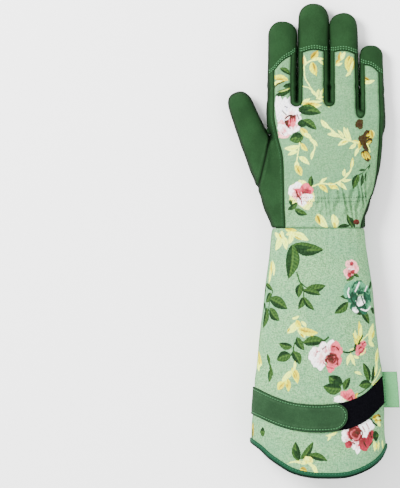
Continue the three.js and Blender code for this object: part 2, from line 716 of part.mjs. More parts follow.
// A band lying on the cuff's back between two places across it, with a rounded end if asked for.
// Its wall has the same folds as the cuff's panel, and more where the end is rounded.
function cuffBand(fromAcross, toAcross, lift, wall, rounded) {
  const [from, to] = [angleAt(fromAcross), angleAt(toAcross)];
  const angles = [from, to];
  for (let i = 0; i <= cuffColumns; i++) angles.push(panelAngle(true, i / cuffColumns));
  for (const share of rounded ? [0.02, 0.06, 0.12, 0.2, 0.3] : []) angles.push(lerp(to, from, share * 0.4));
  const inside = angles.filter((angle) => (angle - from) * (angle - to) <= 0);
  inside.sort((a, b) => (from - to) * (b - a));
  const surface = (raise) => (u, v) => {
    const across = acrossOf(inside[Math.round(u * (inside.length - 1))]);
    const left = Math.abs(toAcross - across) * halfWidthAt(toAcross);
    const bend = rounded ? clamp(1 - left / (strapWidth / 2), 0, 0.96) : 0;
    const half = (strapWidth / 2) * Math.sqrt(1 - bend * bend);
    return cuffPoint(angleAt(across), strapLine(across) + half * (1 - 2 * v), -lift(across) - raise);
  };
  return sheet(surface(wall), surface(0), inside.length - 1, 2);
}

const smooth = (from, to, value) => THREE.MathUtils.smoothstep(value, from, to);
const overLoop = (across) =>
  seamGap + (loopStripWall + 1.5 * seamGap) * smooth(loopStartAcross - 0.22, loopStartAcross - 0.04, across);

// The blank ribbon tab that stands out of the seam on the little finger's side
function sideTab() {
  const face = (side) => (u, v) => {
    const y = -tabAt + tabLength * (0.5 - v);
    const seam = cuffPoint(0, y, 0);
    return new THREE.Vector3(seam.x + seamGap + tabWidth * u, y, seam.z + (side * tabWall) / 2);
  };
  return sheet(face(1), face(-1), 2, 4);
}

const glove = new THREE.Group();

function addPiece(name, solid, finish) {
  const { numProp, vertProperties, triVerts } = solid.getMesh();
  const positions = new Float32Array((vertProperties.length / numProp) * 3);
  for (let i = 0; i < positions.length / 3; i++) {
    positions.set(vertProperties.subarray(i * numProp, i * numProp + 3), i * 3);
  }
  const geometry = new THREE.BufferGeometry();
  geometry.setAttribute("position", new THREE.BufferAttribute(positions, 3));
  geometry.setIndex(new THREE.BufferAttribute(new Uint32Array(triVerts), 1));
  geometry.computeVertexNormals();
  const mesh = new THREE.Mesh(geometry, new THREE.MeshStandardMaterial(finish));
  mesh.name = name;
  glove.add(mesh);
}

function finishOf(name) {
  if (name === "back_panel") return PRINTED_FABRIC;
  if (name.startsWith("touch_tip")) return BLACK_LEATHER;
  return name === "palm" || name === "thumb_palm" ? LEATHER : DARK_LEATHER;
}

for (const [name, solid] of Object.entries(handPieces())) addPiece(name, solid, finishOf(name));
addPiece("palm_pad", palmPad(), LEATHER);
addPiece("cuff_back", cuffPanel(true), PRINTED_FABRIC);
addPiece("cuff_palm", cuffPanel(false), PRINTED_FABRIC);
addPiece("hem_binding", hemBinding(), BINDING_TAPE);
addPiece("strap", cuffBand(-0.999, strapEndAcross, overLoop, strapWall, true), DARK_LEATHER);
addPiece("loop_strip", cuffBand(0.996, loopStartAcross, () => seamGap, loopStripWall, false), LOOP_FABRIC);
addPiece("side_tab", sideTab(), TAB_RIBBON);

// The part's origin is the middle of its outline, on the surface that it lies on
const bounds = new THREE.Box3().setFromObject(glove);
const middle = bounds.getCenter(new THREE.Vector3());
glove.position.set(-middle.x, -middle.y, -bounds.min.z);

export default glove;
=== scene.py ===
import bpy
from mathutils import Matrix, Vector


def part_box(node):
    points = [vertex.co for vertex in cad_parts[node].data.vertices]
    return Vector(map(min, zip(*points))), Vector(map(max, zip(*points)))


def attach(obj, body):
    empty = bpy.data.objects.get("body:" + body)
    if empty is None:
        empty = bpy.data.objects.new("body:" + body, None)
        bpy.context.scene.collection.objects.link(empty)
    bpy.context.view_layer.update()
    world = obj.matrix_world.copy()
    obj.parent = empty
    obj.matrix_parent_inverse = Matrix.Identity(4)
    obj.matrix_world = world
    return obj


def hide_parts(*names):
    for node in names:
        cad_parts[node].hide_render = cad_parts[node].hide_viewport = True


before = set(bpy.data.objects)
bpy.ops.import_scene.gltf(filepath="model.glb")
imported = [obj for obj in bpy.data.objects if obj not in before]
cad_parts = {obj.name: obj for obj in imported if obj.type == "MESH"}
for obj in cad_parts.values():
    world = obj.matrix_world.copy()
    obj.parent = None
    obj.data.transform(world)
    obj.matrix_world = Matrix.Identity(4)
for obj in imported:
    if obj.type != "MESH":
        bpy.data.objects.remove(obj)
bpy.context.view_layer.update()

import math

import bpy
import numpy as np
from mathutils import Vector
from mathutils.bvhtree import BVHTree

# A right-hand rose pruning gauntlet that lies on its palm. Lengths are in millimetres until a mesh
# is made. Y is 0 at the wrist seam and grows towards the fingertips, X is 0 on the cuff's centre
# line and grows towards the little finger, and Z grows from the palm to the back of the hand.
MM = 0.001
WRIST_SEAM_GAP = 0.15
cuff_low, cuff_high = (np.array(corner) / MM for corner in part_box("cuff_back"))
pad_low = np.array(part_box("palm_pad")[0]) / MM
ORIGIN = np.array([(cuff_low[0] + cuff_high[0]) / 2, cuff_high[1] + WRIST_SEAM_GAP, pad_low[2]])

# Hand sizes
HAND_LENGTH = 212.7
PALM_LENGTH = 118.0
KNUCKLES = 110.6
WRIST_WIDTH = 88.0
WRIST_HEIGHT = 41.0
KNUCKLE_HEIGHT = 24.5
SEAM_HEIGHT = 9.5
PALM_LIFT = 2.7
LITTLE_DROP = 11.0
SIDE_SHARE = 0.42
UPPER_POWER = 2.2
LOWER_POWER = 3.0
LOWER_FLAT = 1.08
WRIST_LAP = 10.0

# Cuff sizes
CUFF_LENGTH = 202.0
HEM_DROP = 32.6
MOUTH_WIDTH = 130.6
MOUTH_HEIGHT = 60.0
CUFF_WALL = 1.8
CUFF_LIFT = 2.2
STRAP_WIDTH = 26.0
STRAP_AT = 152.5
STRAP_SAG = 27.0
STRAP_END = 0.43
TAB_AT = 152.7
TAB_LENGTH = 34.0
TAB_WIDTH = 15.0
LOOP_LAP = 36.0
LOOP_START = 0.996
STRAP_START = -0.9985
STRAP_SEAM_INSET = 2.3
CUFF_ROWS = 312
CUFF_COLUMNS = 232
INNER_RATIO = 4
OVER_GAP = 0.0025
UNDER_GAP = 0.0004
FINE_ANGLES = 3000

# The leather's wall, the elastic rows on the wrist, and the box in which the hand's surface is found
HAND_WALL = 1.2
ELASTIC_AT = 24.5
ELASTIC_STEP = 3.6
HAND_LOW = np.array([-94.0, -16.0, -3.0])
HAND_HIGH = np.array([70.0, 216.0, 48.0])
HAND_STEP = 1.0

# Height of the cuff's middle line, a length past every piece, and the print's edge on bare cloth
MIDDLE_HEIGHT = 26.0
FAR = 300.0
BARE = -9.0

# The photograph's height in pixels and its scale, and the middle of its frame from the glove
PHOTO_HEIGHT = 488
MM_PER_PIXEL = 0.9454
PHOTO_MIDDLE = (-112.0, -15.1, 25.0)
CAMERA_DISTANCE = 8.0
SENSOR_HEIGHT = 36.0
FLOOR_HALF = 4.0
FLOOR_HEIGHT = -0.0003

PALM = {
    "at": [-0.12, 0.0, 0.08, 0.15, 0.22, 0.29, 0.4, 0.54, 0.7, 0.86, 1.0, 1.3],
    "left": [-0.398, -0.398, -0.43, -0.465, -0.483, -0.486, -0.47, -0.445, -0.398, -0.402, -0.421, -0.421],
    "right": [0.398, 0.398, 0.4, 0.425, 0.448, 0.474, 0.502, 0.53, 0.545, 0.55, 0.553, 0.555],
    "rise": [0.0, 0.0, 0.0, 0.0, 0.02, 0.06, 0.12, 0.24, 0.42, 0.66, 1.0, 1.4],
}
FINGERS = [
    {"name": "index", "root": -0.313, "tip": -0.304, "width": 0.256, "reach": 0.92,
     "strip": (-0.58, 0.57), "cap": (0.76, 0.83)},
    {"name": "middle", "root": -0.044, "tip": -0.04, "width": 0.27, "reach": 1.0,
     "strip": (-0.72, 0.68), "cap": (0.78, 0.785)},
    {"name": "ring", "root": 0.225, "tip": 0.215, "width": 0.253, "reach": 0.958,
     "strip": (-0.68, 0.79), "cap": (0.817, 0.808)},
    {"name": "little", "root": 0.465, "tip": 0.452, "width": 0.213, "reach": 0.813,
     "strip": (-0.6, 0.59), "cap": (0.891, 0.85)},
]
FINGER_ROOT = 0.85 * PALM_LENGTH
FINGER_TAPER = 0.95
GAPS_AT = 140.0
CAP_AT = 0.8
FINGER_DEPTH = (0.86, 0.68)
FINGER_LIFT = (PALM_LIFT, 0.9)
TIP_ROUND = 0.56
THUMB_ROOT = np.array([-0.354 * KNUCKLES, 0.27 * PALM_LENGTH])
THUMB_ANGLE = math.radians(22.2)
THUMB_LENGTH = 104.0
THUMB_GIRTH = {"at": [0, 0.25, 0.5, 0.7, 0.85, 1], "width": [28.5, 30.0, 27.9, 25.2, 23.4, 21.6]}
CUFF = {
    "at": [0, 0.12, 0.25, 0.4, 0.56, 0.72, 0.86, 1],
    "flare": [0, 0.13, 0.34, 0.52, 0.7, 0.84, 0.93, 1],
    "rise": [0, 0.08, 0.23, 0.42, 0.6, 0.78, 0.91, 1],
}
HEM = {
    "across": [-1, -0.85, -0.74, -0.58, -0.39, -0.15, 0.1, 0.38, 0.6, 0.8, 0.93, 1],
    "drop": [0, 0.22, 0.42, 0.64, 0.85, 0.97, 1, 0.98, 0.86, 0.66, 0.42, 0.16],
}
STRAP = {
    "across": [-1, -0.66, -0.43, -0.2, 0, 0.17, 0.33, 0.48, 0.71, 0.9, 1],
    "dip": [0.38, 0.73, 0.9, 0.98, 1, 0.98, 0.93, 0.85, 0.6, 0.22, 0],
}
BACK_EDGES = {
    "at": [-0.3, 0.0, 0.15, 0.33, 0.58, 0.74, 0.9, 1.05],
    "left": [-0.287, -0.287, -0.292, -0.297, -0.308, -0.352, -0.38, -0.382],
    "right": [0.36, 0.36, 0.411, 0.479, 0.514, 0.523, 0.526, 0.528],
}
THENAR = [(-0.39, 0.735), (-0.31, 0.755), (-0.19, 0.68), (-0.105, 0.53), (-0.086, 0.37),
          (-0.126, 0.225), (-0.21, 0.115), (-0.31, 0.035), (-0.44, 0.0)]
PAD = [(0.5, 0.6), (0.37, 0.665), (0.171, 0.74), (0.024, 0.783), (-0.083, 0.797), (-0.13, 0.753),
       (-0.108, 0.69), (-0.03, 0.577), (0.045, 0.464), (0.064, 0.364), (0.045, 0.252),
       (0.011, 0.128), (-0.03, 0.064), (0.011, 0.002), (0.171, -0.011), (0.36, 0.002),
       (0.42, 0.08), (0.47, 0.28)]
PAD_CHANNELS = [
    [(0.62, 0.47), (0.3, 0.55), (0.05, 0.66)],
    [(0.08, 0.63), (0.24, 0.45), (0.5, 0.2)],
    [(0.6, 0.115), (0.3, 0.11), (0.1, 0.115)],
]

# Colours, as the shares of red, green and blue light that each surface sends back
DORSAL_GREEN = (0.0095, 0.031, 0.010)
PALM_GREEN = (0.018, 0.087, 0.027)
STRAP_GREEN = (0.0135, 0.037, 0.0155)
SAGE = (0.107, 0.262, 0.111)
BLACK_TIP = (0.004, 0.004, 0.007)
LOOP_BLACK = (0.0012, 0.0012, 0.0017)
TAPE_GREEN = (0.0065, 0.042, 0.020)
RIBBON_GREEN = (0.08, 0.275, 0.105)
CLOTH_DARK_FIBRES = (0.058, 0.150, 0.064)
CLOTH_PALE_SPECKS = (0.27, 0.45, 0.22)
CLOTH_COOL_PATCHES = (0.075, 0.225, 0.128)
LOOP_FLUFF = (0.004, 0.004, 0.006)
FLOOR_WHITES = (0.93, 0.93, 0.93), (0.96, 0.96, 0.96)
THREADS = {
    "dark_thread": (0.045, 0.15, 0.06), "seam_thread": (0.008, 0.045, 0.014),
    "palm_thread": (0.075, 0.235, 0.095), "sage_thread": (0.026, 0.052, 0.029),
    "tape_thread": (0.016, 0.084, 0.042),
}


# Curves, noise and distances
def smooth_curve(xs, ys):
    """A function through the points, with the slopes of a Catmull-Rom curve."""
    xs = np.array(xs, dtype=float)
    ys = np.array(ys, dtype=float)
    before = np.maximum(np.arange(len(xs)) - 1, 0)
    after = np.minimum(np.arange(len(xs)) + 1, len(xs) - 1)
    slope = (ys[after] - ys[before]) / (xs[after] - xs[before])
    dense_x = []
    dense_y = []
    for i in range(len(xs) - 1):
        t = np.linspace(0, 1, 24, endpoint=i == len(xs) - 2)
        span = xs[i + 1] - xs[i]
        dense_x.append(xs[i] + span * t)
        dense_y.append(
            (2 * t**3 - 3 * t**2 + 1) * ys[i] + (t**3 - 2 * t**2 + t) * span * slope[i]
            + (3 * t**2 - 2 * t**3) * ys[i + 1] + (t**3 - t**2) * span * slope[i + 1]
        )
    dense_x = np.concatenate(dense_x)
    dense_y = np.concatenate(dense_y)
    return lambda v: np.interp(v, dense_x, dense_y)


def smooth_step(low, high, v):
    t = np.clip((v - low) / (high - low), 0, 1)
    return t * t * (3 - 2 * t)


def bell(distance, spread):
    return np.exp(-((distance / spread) ** 2))


def ripple(points, wavelength, seed, terms=9):
    """Soft noise between about -1 and 1: a sum of waves in seeded directions."""
    rng = np.random.default_rng(seed)
    total = np.zeros(len(points))
    for _ in range(terms):
        way = rng.normal(size=points.shape[1])
        way *= rng.uniform(0.7, 1.5) * 2 * math.pi / (wavelength * np.linalg.norm(way))
        total += np.sin(points @ way + rng.uniform(0, 2 * math.pi))
    return total / math.sqrt(terms) / 1.2


def unit(vectors):
    return vectors / np.maximum(np.linalg.norm(vectors, axis=-1, keepdims=True), 1e-12)


def reach_along(line):
    """The distance along a line to each of its points."""
    return np.concatenate([[0], np.cumsum(np.linalg.norm(np.diff(line, axis=0), axis=1))])


def smooth_min(a, b, k):
    h = np.clip(0.5 + 0.5 * (b - a) / k, 0, 1)
    return b * (1 - h) + a * h - k * h * (1 - h)


def rounded_line(corners, step=2.0, closed=False):
    """Points about a step apart on a smooth line through the corners."""
    corners = np.array(corners, dtype=float)
    if closed:
        corners = np.vstack([corners, corners[:1]])
    reach = reach_along(corners)
    if closed:
        wrapped_reach = np.concatenate([reach[-4:-1] - reach[-1], reach, reach[1:4] + reach[-1]])
        wrapped = np.vstack([corners[-4:-1], corners, corners[1:4]])
    else:
        wrapped_reach, wrapped = reach, corners
    places = np.linspace(0, reach[-1], max(int(reach[-1] / step), 4) + 1)
    return np.column_stack(
        [smooth_curve(wrapped_reach, wrapped[:, k])(places) for k in range(corners.shape[1])]
    )


def line_distance(points, line):
    """Distance of plan points to an open line of points."""
    best = np.full(len(points), 1e9)
    for a, b in zip(line[:-1], line[1:]):
        run = b - a
        t = np.clip(((points - a) @ run) / max(run @ run, 1e-9), 0, 1)
        gap = points - a - t[:, None] * run
        best = np.minimum(best, np.einsum("ij,ij->i", gap, gap))
    return np.sqrt(best)


def inside_distance(points, outline):
    """Distance of plan points to a closed outline, positive inside it."""
    closed = np.vstack([outline, outline[:1]])
    inside = np.zeros(len(points), dtype=bool)
    for (x0, y0), (x1, y1) in zip(closed[:-1], closed[1:]):
        crosses = (y0 > points[:, 1]) != (y1 > points[:, 1])
        at = x0 + (points[:, 1] - y0) * (x1 - x0) / (y1 - y0 if y1 != y0 else 1e-9)
        inside ^= crosses & (points[:, 0] < at)
    return np.where(inside, 1.0, -1.0) * line_distance(points, closed)


# The hand's surface, as a distance that is negative inside
palm_left = smooth_curve(np.array(PALM["at"]) * PALM_LENGTH, np.array(PALM["left"]) * KNUCKLES)
palm_right = smooth_curve(np.array(PALM["at"]) * PALM_LENGTH, np.array(PALM["right"]) * KNUCKLES)
palm_height = smooth_curve(
    np.array(PALM["at"]) * PALM_LENGTH,
    WRIST_HEIGHT + (KNUCKLE_HEIGHT - WRIST_HEIGHT) * np.array(PALM["rise"]),
)
thumb_girth = smooth_curve(THUMB_GIRTH["at"], THUMB_GIRTH["width"])
THUMB_WAY = np.array([-math.sin(THUMB_ANGLE), math.cos(THUMB_ANGLE)])
THUMB_SIDE = np.array([THUMB_WAY[1], -THUMB_WAY[0]])


def hollow_distance(u, w, half, up, down, upper_power, lower_power, flat):
    """About how far a point lies outside a rounded section, from its place across and up."""
    power = np.where(w > 0, upper_power, lower_power)
    rise = np.where(w > 0, up, down * flat)
    a = np.abs(u) / half
    b = np.abs(w) / rise
    level = np.maximum((a**power + b**power) ** (1 / power), 1e-3)
    steep = np.hypot(a ** (power - 1) / half, b ** (power - 1) / rise) / level ** (power - 1)
    distance = (level - 1) / np.maximum(steep, 0.4 / half)
    return np.where(w < 0, np.maximum(distance, -w - down), distance)


def palm_distance(x, y, z):
    beyond = np.clip((x / KNUCKLES - 0.2) / 0.25, 0, 1)
    row = y + LITTLE_DROP * beyond * np.clip((y + 8) / PALM_LENGTH, 0, 1) ** 3
    left = palm_left(row)
    right = palm_right(row)
    height = palm_height(row)
    side = PALM_LIFT + SIDE_SHARE * height
    tube = hollow_distance(
        x - (left + right) / 2, z - side, (right - left) / 2, height * (1 - SIDE_SHARE),
        height * SIDE_SHARE, UPPER_POWER, LOWER_POWER, LOWER_FLAT,
    )
    return -smooth_min(-tube, PALM_LENGTH - row, 4.0)


def tube_distance(along, across, z, length, width, lift, depth):
    """A finger or thumb: a tapering tube with a round end and a root that fades out."""
    at = np.clip(along / length, 0, 1)
    half = width(at) / 2
    height = 2 * half * (depth[0] + (depth[1] - depth[0]) * at)
    bottom = lift[0] + (lift[1] - lift[0]) * at
    reach = TIP_ROUND * width(1.0)
    past = np.maximum(0, along - (length - reach)) / reach
    before = np.maximum(0, -along) / 14.0
    end = past**2.3 + before**2.3
    w = z - bottom - height * 0.47
    rise = np.where(w > 0, height * 0.53, height * 0.47)
    level = np.maximum(
        ((np.abs(across) / half) ** 2.3 + (np.abs(w) / rise) ** 2.3 + end) ** (1 / 2.3), 1e-3
    )
    a = (np.abs(across) / half / level) ** 1.3 / half
    b = (np.abs(w) / rise / level) ** 1.3 / rise
    c = (np.maximum(past, before) / level) ** 1.3 / 14.0
    return (level - 1) / np.maximum(np.sqrt(a * a + b * b + c * c), 0.4 / half)


def finger_length(finger):
    return finger["reach"] * HAND_LENGTH - FINGER_ROOT


def finger_axis(finger, y):
    """X of a finger's middle line."""
    at = np.clip((y - FINGER_ROOT) / finger_length(finger), 0, 1.2)
    return (finger["root"] + (finger["tip"] - finger["root"]) * at) * KNUCKLES


def finger_half(finger, y):
    """Half of a finger's width."""
    at = np.clip((y - FINGER_ROOT) / finger_length(finger), 0, 1)
    return finger["width"] * KNUCKLES * (1 + (FINGER_TAPER - 1) * at) / 2


def hand_distance(points):
    x, y, z = points[:, 0], points[:, 1], points[:, 2]
    palm = palm_distance(x, y, z)
    hand = palm.copy()
    for finger in FINGERS:
        near = (np.abs(x - finger["root"] * KNUCKLES) < 24) & (y > FINGER_ROOT - 26)
        if not near.any():
            continue
        width = finger["width"] * KNUCKLES
        tube = tube_distance(
            y[near] - FINGER_ROOT, x[near] - finger_axis(finger, y[near]), z[near], finger_length(finger),
            lambda at: width * (1 + (FINGER_TAPER - 1) * at), FINGER_LIFT, FINGER_DEPTH,
        )
        hand[near] = np.minimum(hand[near], smooth_min(palm[near], tube, 5.0))
    plan = points[:, :2] - THUMB_ROOT
    along = plan @ THUMB_WAY
    across = plan @ THUMB_SIDE
    near = (along > -26) & (np.abs(across) < 34)
    thumb = tube_distance(
        along[near], across[near], z[near], THUMB_LENGTH, thumb_girth, (PALM_LIFT, PALM_LIFT), (1.0, 0.9)
    )
    hand[near] = smooth_min(hand[near], thumb, 4.0)
    return hand


def surface_nets(values, start, step):
    """Vertices and quads on the zero level of a grid of distances."""
    inside = values < 0
    shape = np.array(values.shape) - 1
    count = np.zeros(shape, dtype=np.int8)
    corners = [(i, j, k) for i in (0, 1) for j in (0, 1) for k in (0, 1)]

    def corner(grid, c):
        return grid[c[0]:c[0] + shape[0], c[1]:c[1] + shape[1], c[2]:c[2] + shape[2]]

    for c in corners:
        count += corner(inside, c)
    active = (count > 0) & (count < 8)
    cells = np.argwhere(active)
    index = np.full(shape, -1, dtype=np.int64)
    index[active] = np.arange(len(cells))
    total = np.zeros((len(cells), 3))
    hits = np.zeros(len(cells))
    for c in corners:
        for axis in range(3):
            if c[axis]:
                continue
            d = list(c)
            d[axis] = 1
            a = corner(values, c)[active]
            b = corner(values, d)[active]
            cross = (a < 0) != (b < 0)
            t = np.where(cross, a / np.where(cross, a - b, 1), 0)
            place = np.tile(np.array(c, dtype=float), (len(cells), 1))
            place[:, axis] += t
            total += place * cross[:, None]
            hits += cross
    vertices = start + step * (cells + total / hits[:, None])
    quads = []
    for axis in range(3):
        low = [slice(1, -1)] * 3
        high = [slice(1, -1)] * 3
        low[axis] = slice(0, -1)
        high[axis] = slice(1, None)
        a = inside[tuple(low)]
        b = inside[tuple(high)]
        edges = np.argwhere(a != b)
        leaving = a[a != b]
        base = edges + 1
        base[:, axis] -= 1
        u, v = [(1, 2), (2, 0), (0, 1)][axis]
        around = []
        for du, dv in ((1, 1), (0, 1), (0, 0), (1, 0)):
            cell = base.copy()
            cell[:, u] -= du
            cell[:, v] -= dv
            around.append(index[cell[:, 0], cell[:, 1], cell[:, 2]])
        quad = np.column_stack(around)
        quad[~leaving] = quad[~leaving][:, ::-1]
        quads.append(quad)
    return vertices, np.vstack(quads)


def halved(vertices, quads):
    """Two triangles for each quad, cut along its shorter diagonal."""
    a, b, c, d = (vertices[quads[:, k]] for k in range(4))
    short = np.linalg.norm(a - c, axis=1) <= np.linalg.norm(b - d, axis=1)
    one = np.vstack([quads[short][:, [0, 1, 2]], quads[short][:, [0, 2, 3]]])
    two = np.vstack([quads[~short][:, [0, 1, 3]], quads[~short][:, [1, 2, 3]]])
    return np.vstack([one, two])


def hand_surface(step):
    """Vertices and triangles of the whole hand, drawn onto its exact surface."""
    axes = [np.arange(low, high + step, step) for low, high in zip(HAND_LOW, HAND_HIGH)]
    grid = np.stack(np.meshgrid(*axes, indexing="ij"), axis=-1).reshape(-1, 3)
    values = hand_distance(grid).reshape([len(axis) for axis in axes])
    values[:, 0, :] = 1.0
    vertices, quads = surface_nets(values, HAND_LOW, step)
    for _ in range(3):
        level = hand_distance(vertices)
        slope = np.column_stack(
            [(hand_distance(vertices + 0.05 * way) - level) / 0.05 for way in np.eye(3)]
        )
        size = np.maximum(np.einsum("ij,ij->i", slope, slope), 0.2)
        move = np.clip(-level / size, -step / 2, step / 2)
        vertices = vertices + move[:, None] * slope
    return vertices, halved(vertices, quads)


def split(vertices, triangles, level, snap=0.08):
    """Cuts the triangles along the zero line of a value, so that none lies on both its sides."""
    level = np.where(np.abs(level) < snap, 0, level)
    signs = np.sign(level)[triangles]
    mixed = (signs.min(axis=1) < 0) & (signs.max(axis=1) > 0)
    cut = triangles[mixed]
    signs = signs[mixed]
    through = (signs == 0).any(axis=1)
    first = np.where(through, np.argmin(np.abs(signs), axis=1), 0)
    lone = np.sign(signs.sum(axis=1, keepdims=True)) != signs
    first = np.where(through, first, np.argmax(lone, axis=1))
    order = (first[:, None] + np.arange(3)) % 3
    cut = np.take_along_axis(cut, order, axis=1)
    pairs = np.vstack([cut[through][:, [1, 2]], cut[~through][:, [0, 1]], cut[~through][:, [0, 2]]])
    keys = np.sort(pairs, axis=1)
    unique, which = np.unique(keys, axis=0, return_inverse=True)
    which = which.reshape(-1)
    a, b = level[unique[:, 0]], level[unique[:, 1]]
    t = (a / (a - b))[:, None]
    added = vertices[unique[:, 0]] * (1 - t) + vertices[unique[:, 1]] * t
    which = which + len(vertices)
    halves = int(through.sum())
    whole = len(cut) - halves
    middle = which[:halves]
    left = which[halves:halves + whole]
    right = which[halves + whole:]
    z, p, q = cut[through].T
    s, m, n = cut[~through].T
    parts = [
        triangles[~mixed],
        np.column_stack([z, p, middle]), np.column_stack([z, middle, q]),
        np.column_stack([s, left, right]), np.column_stack([left, m, n]),
        np.column_stack([left, n, right]),
    ]
    return np.vstack([vertices, added]), np.vstack(parts)


def vertex_normals(vertices, triangles):
    a, b, c = (vertices[triangles[:, k]] for k in range(3))
    face = np.cross(b - a, c - a)
    normals = np.zeros_like(vertices)
    for k in range(3):
        np.add.at(normals, triangles[:, k], face)
    return unit(normals)


# Seams of the hand, as values that are zero on the seam
def cap_line(x):
    """Y of the cap seams over the fingers at a place across the hand."""
    result = np.zeros_like(x)
    edges = [-1e3] + [gap_x(i) for i in range(3)] + [1e3]
    for i, finger in enumerate(FINGERS):
        near = (x > edges[i]) & (x <= edges[i + 1])
        y = CAP_AT * finger["reach"] * HAND_LENGTH
        share = (x[near] - finger_axis(finger, y)) / finger_half(finger, y)
        low, high = finger["strip"]
        across = (share - low) / (high - low)
        arch = 2.0 * np.sin(math.pi * np.clip(across, 0, 1))
        start, end = finger["cap"]
        place = (start + (end - start) * np.clip(across, -0.45, 1.45)) * finger["reach"] * HAND_LENGTH
        result[near] = place + arch
    return result


def gap_x(i, y=GAPS_AT):
    """X of the middle of the gap between a finger and the next."""
    left, right = FINGERS[i], FINGERS[i + 1]
    return (
        finger_axis(left, y) + finger_half(left, y) + finger_axis(right, y) - finger_half(right, y)
    ) / 2


def back_edge(side, at):
    """X of the printed back's left or right edge at shares of the palm's length."""
    return smooth_curve(BACK_EDGES["at"], BACK_EDGES[side])(at) * KNUCKLES


def strip_edge(finger, side, y):
    """A point on the left (0) or right (1) edge of the printed strip up a finger."""
    return finger_axis(finger, y) + finger["strip"][side] * finger_half(finger, y), y


def back_outline():
    """The printed back's outline in plan, with its strips run on past the cap seams."""
    at = np.linspace(-0.3, 0.9, 30)
    points = list(zip(back_edge("left", at), at * PALM_LENGTH))
    for i, finger in enumerate(FINGERS):
        points += [strip_edge(finger, 0, 190.0), strip_edge(finger, 0, 230.0), strip_edge(finger, 1, 230.0)]
        if i == 3:
            continue
        y = PALM_LENGTH + 2.0 - (LITTLE_DROP if i == 2 else 0)
        x0 = strip_edge(finger, 1, y)[0]
        x1 = strip_edge(FINGERS[i + 1], 0, y)[0]
        for turn in np.linspace(math.pi, 2 * math.pi, 12):
            points.append(((x0 + x1) / 2 + (x1 - x0) / 2 * math.cos(turn), y + 5 * math.sin(turn)))
    points.append(strip_edge(FINGERS[3], 1, 150.0))
    points.extend(zip(back_edge("right", at[::-1]), at[::-1] * PALM_LENGTH))
    return np.array(points)


def side_line(y):
    """Height of the line where the hand is widest."""
    at = np.clip(y / PALM_LENGTH, 0, 1.6)
    return PALM_LIFT + SIDE_SHARE * (WRIST_HEIGHT + (KNUCKLE_HEIGHT - WRIST_HEIGHT) * at)


BACK = back_outline()
THUMB_ZONE = np.array([
    (-0.412 * KNUCKLES, 0.715 * PALM_LENGTH), (-0.495 * KNUCKLES, 0.41 * PALM_LENGTH),
    (-0.56 * KNUCKLES, 0.2 * PALM_LENGTH), (-FAR, 0.2 * PALM_LENGTH), (-FAR, FAR), (-53.0, FAR),
    (-49.6, PALM_LENGTH),
])
thenar_seam = rounded_line(np.array(THENAR) * [KNUCKLES, PALM_LENGTH])
THENAR_ZONE = np.vstack([
    thenar_seam, [(-FAR, 0.0), (-FAR, FAR), (-53.0, FAR), (-49.6, PALM_LENGTH),
                  (-0.412 * KNUCKLES, 0.8 * PALM_LENGTH)],
])
pad_line = rounded_line(np.array(PAD) * [KNUCKLES, PALM_LENGTH], closed=True)[:-1]
pad_channels = [rounded_line(np.array(line) * [KNUCKLES, PALM_LENGTH]) for line in PAD_CHANNELS]
TIP_SEAMS = {"index": 0.92 - 0.225, "middle": 1.0 - 0.246}
THUMB_TIP_AT = 0.61 * THUMB_LENGTH


def back_level(p):
    return np.minimum(inside_distance(p[:, :2], BACK), p[:, 2] - side_line(p[:, 1]))


def cap_level(p):
    return p[:, 1] - cap_line(p[:, 0])


def thumb_level(p):
    return inside_distance(p[:, :2], THUMB_ZONE)


def thenar_level(p):
    return inside_distance(p[:, :2], THENAR_ZONE)


def finger_tip_level(p):
    """Positive in the black tips of the index and middle fingers."""
    x, y = p[:, 0], p[:, 1]
    first, second = gap_x(0), gap_x(1)
    seam = np.where(x < first, TIP_SEAMS["index"], np.where(x < second, TIP_SEAMS["middle"], 9.0))
    return y - seam * HAND_LENGTH


def thumb_tip_level(p):
    return (p[:, :2] - THUMB_ROOT) @ THUMB_WAY - THUMB_TIP_AT


def wrist_dip(x):
    return -WRIST_LAP * (1 - np.minimum(1, np.abs(x) / (0.465 * WRIST_WIDTH)) ** 4)


def wrist_level(p):
    return p[:, 1] - np.where(p[:, 2] > SEAM_HEIGHT, 0.0, wrist_dip(p[:, 0]))


STRIPS = ["side_thumb", "fourchette_index", "fourchette_middle", "fourchette_ring", "side_little"]


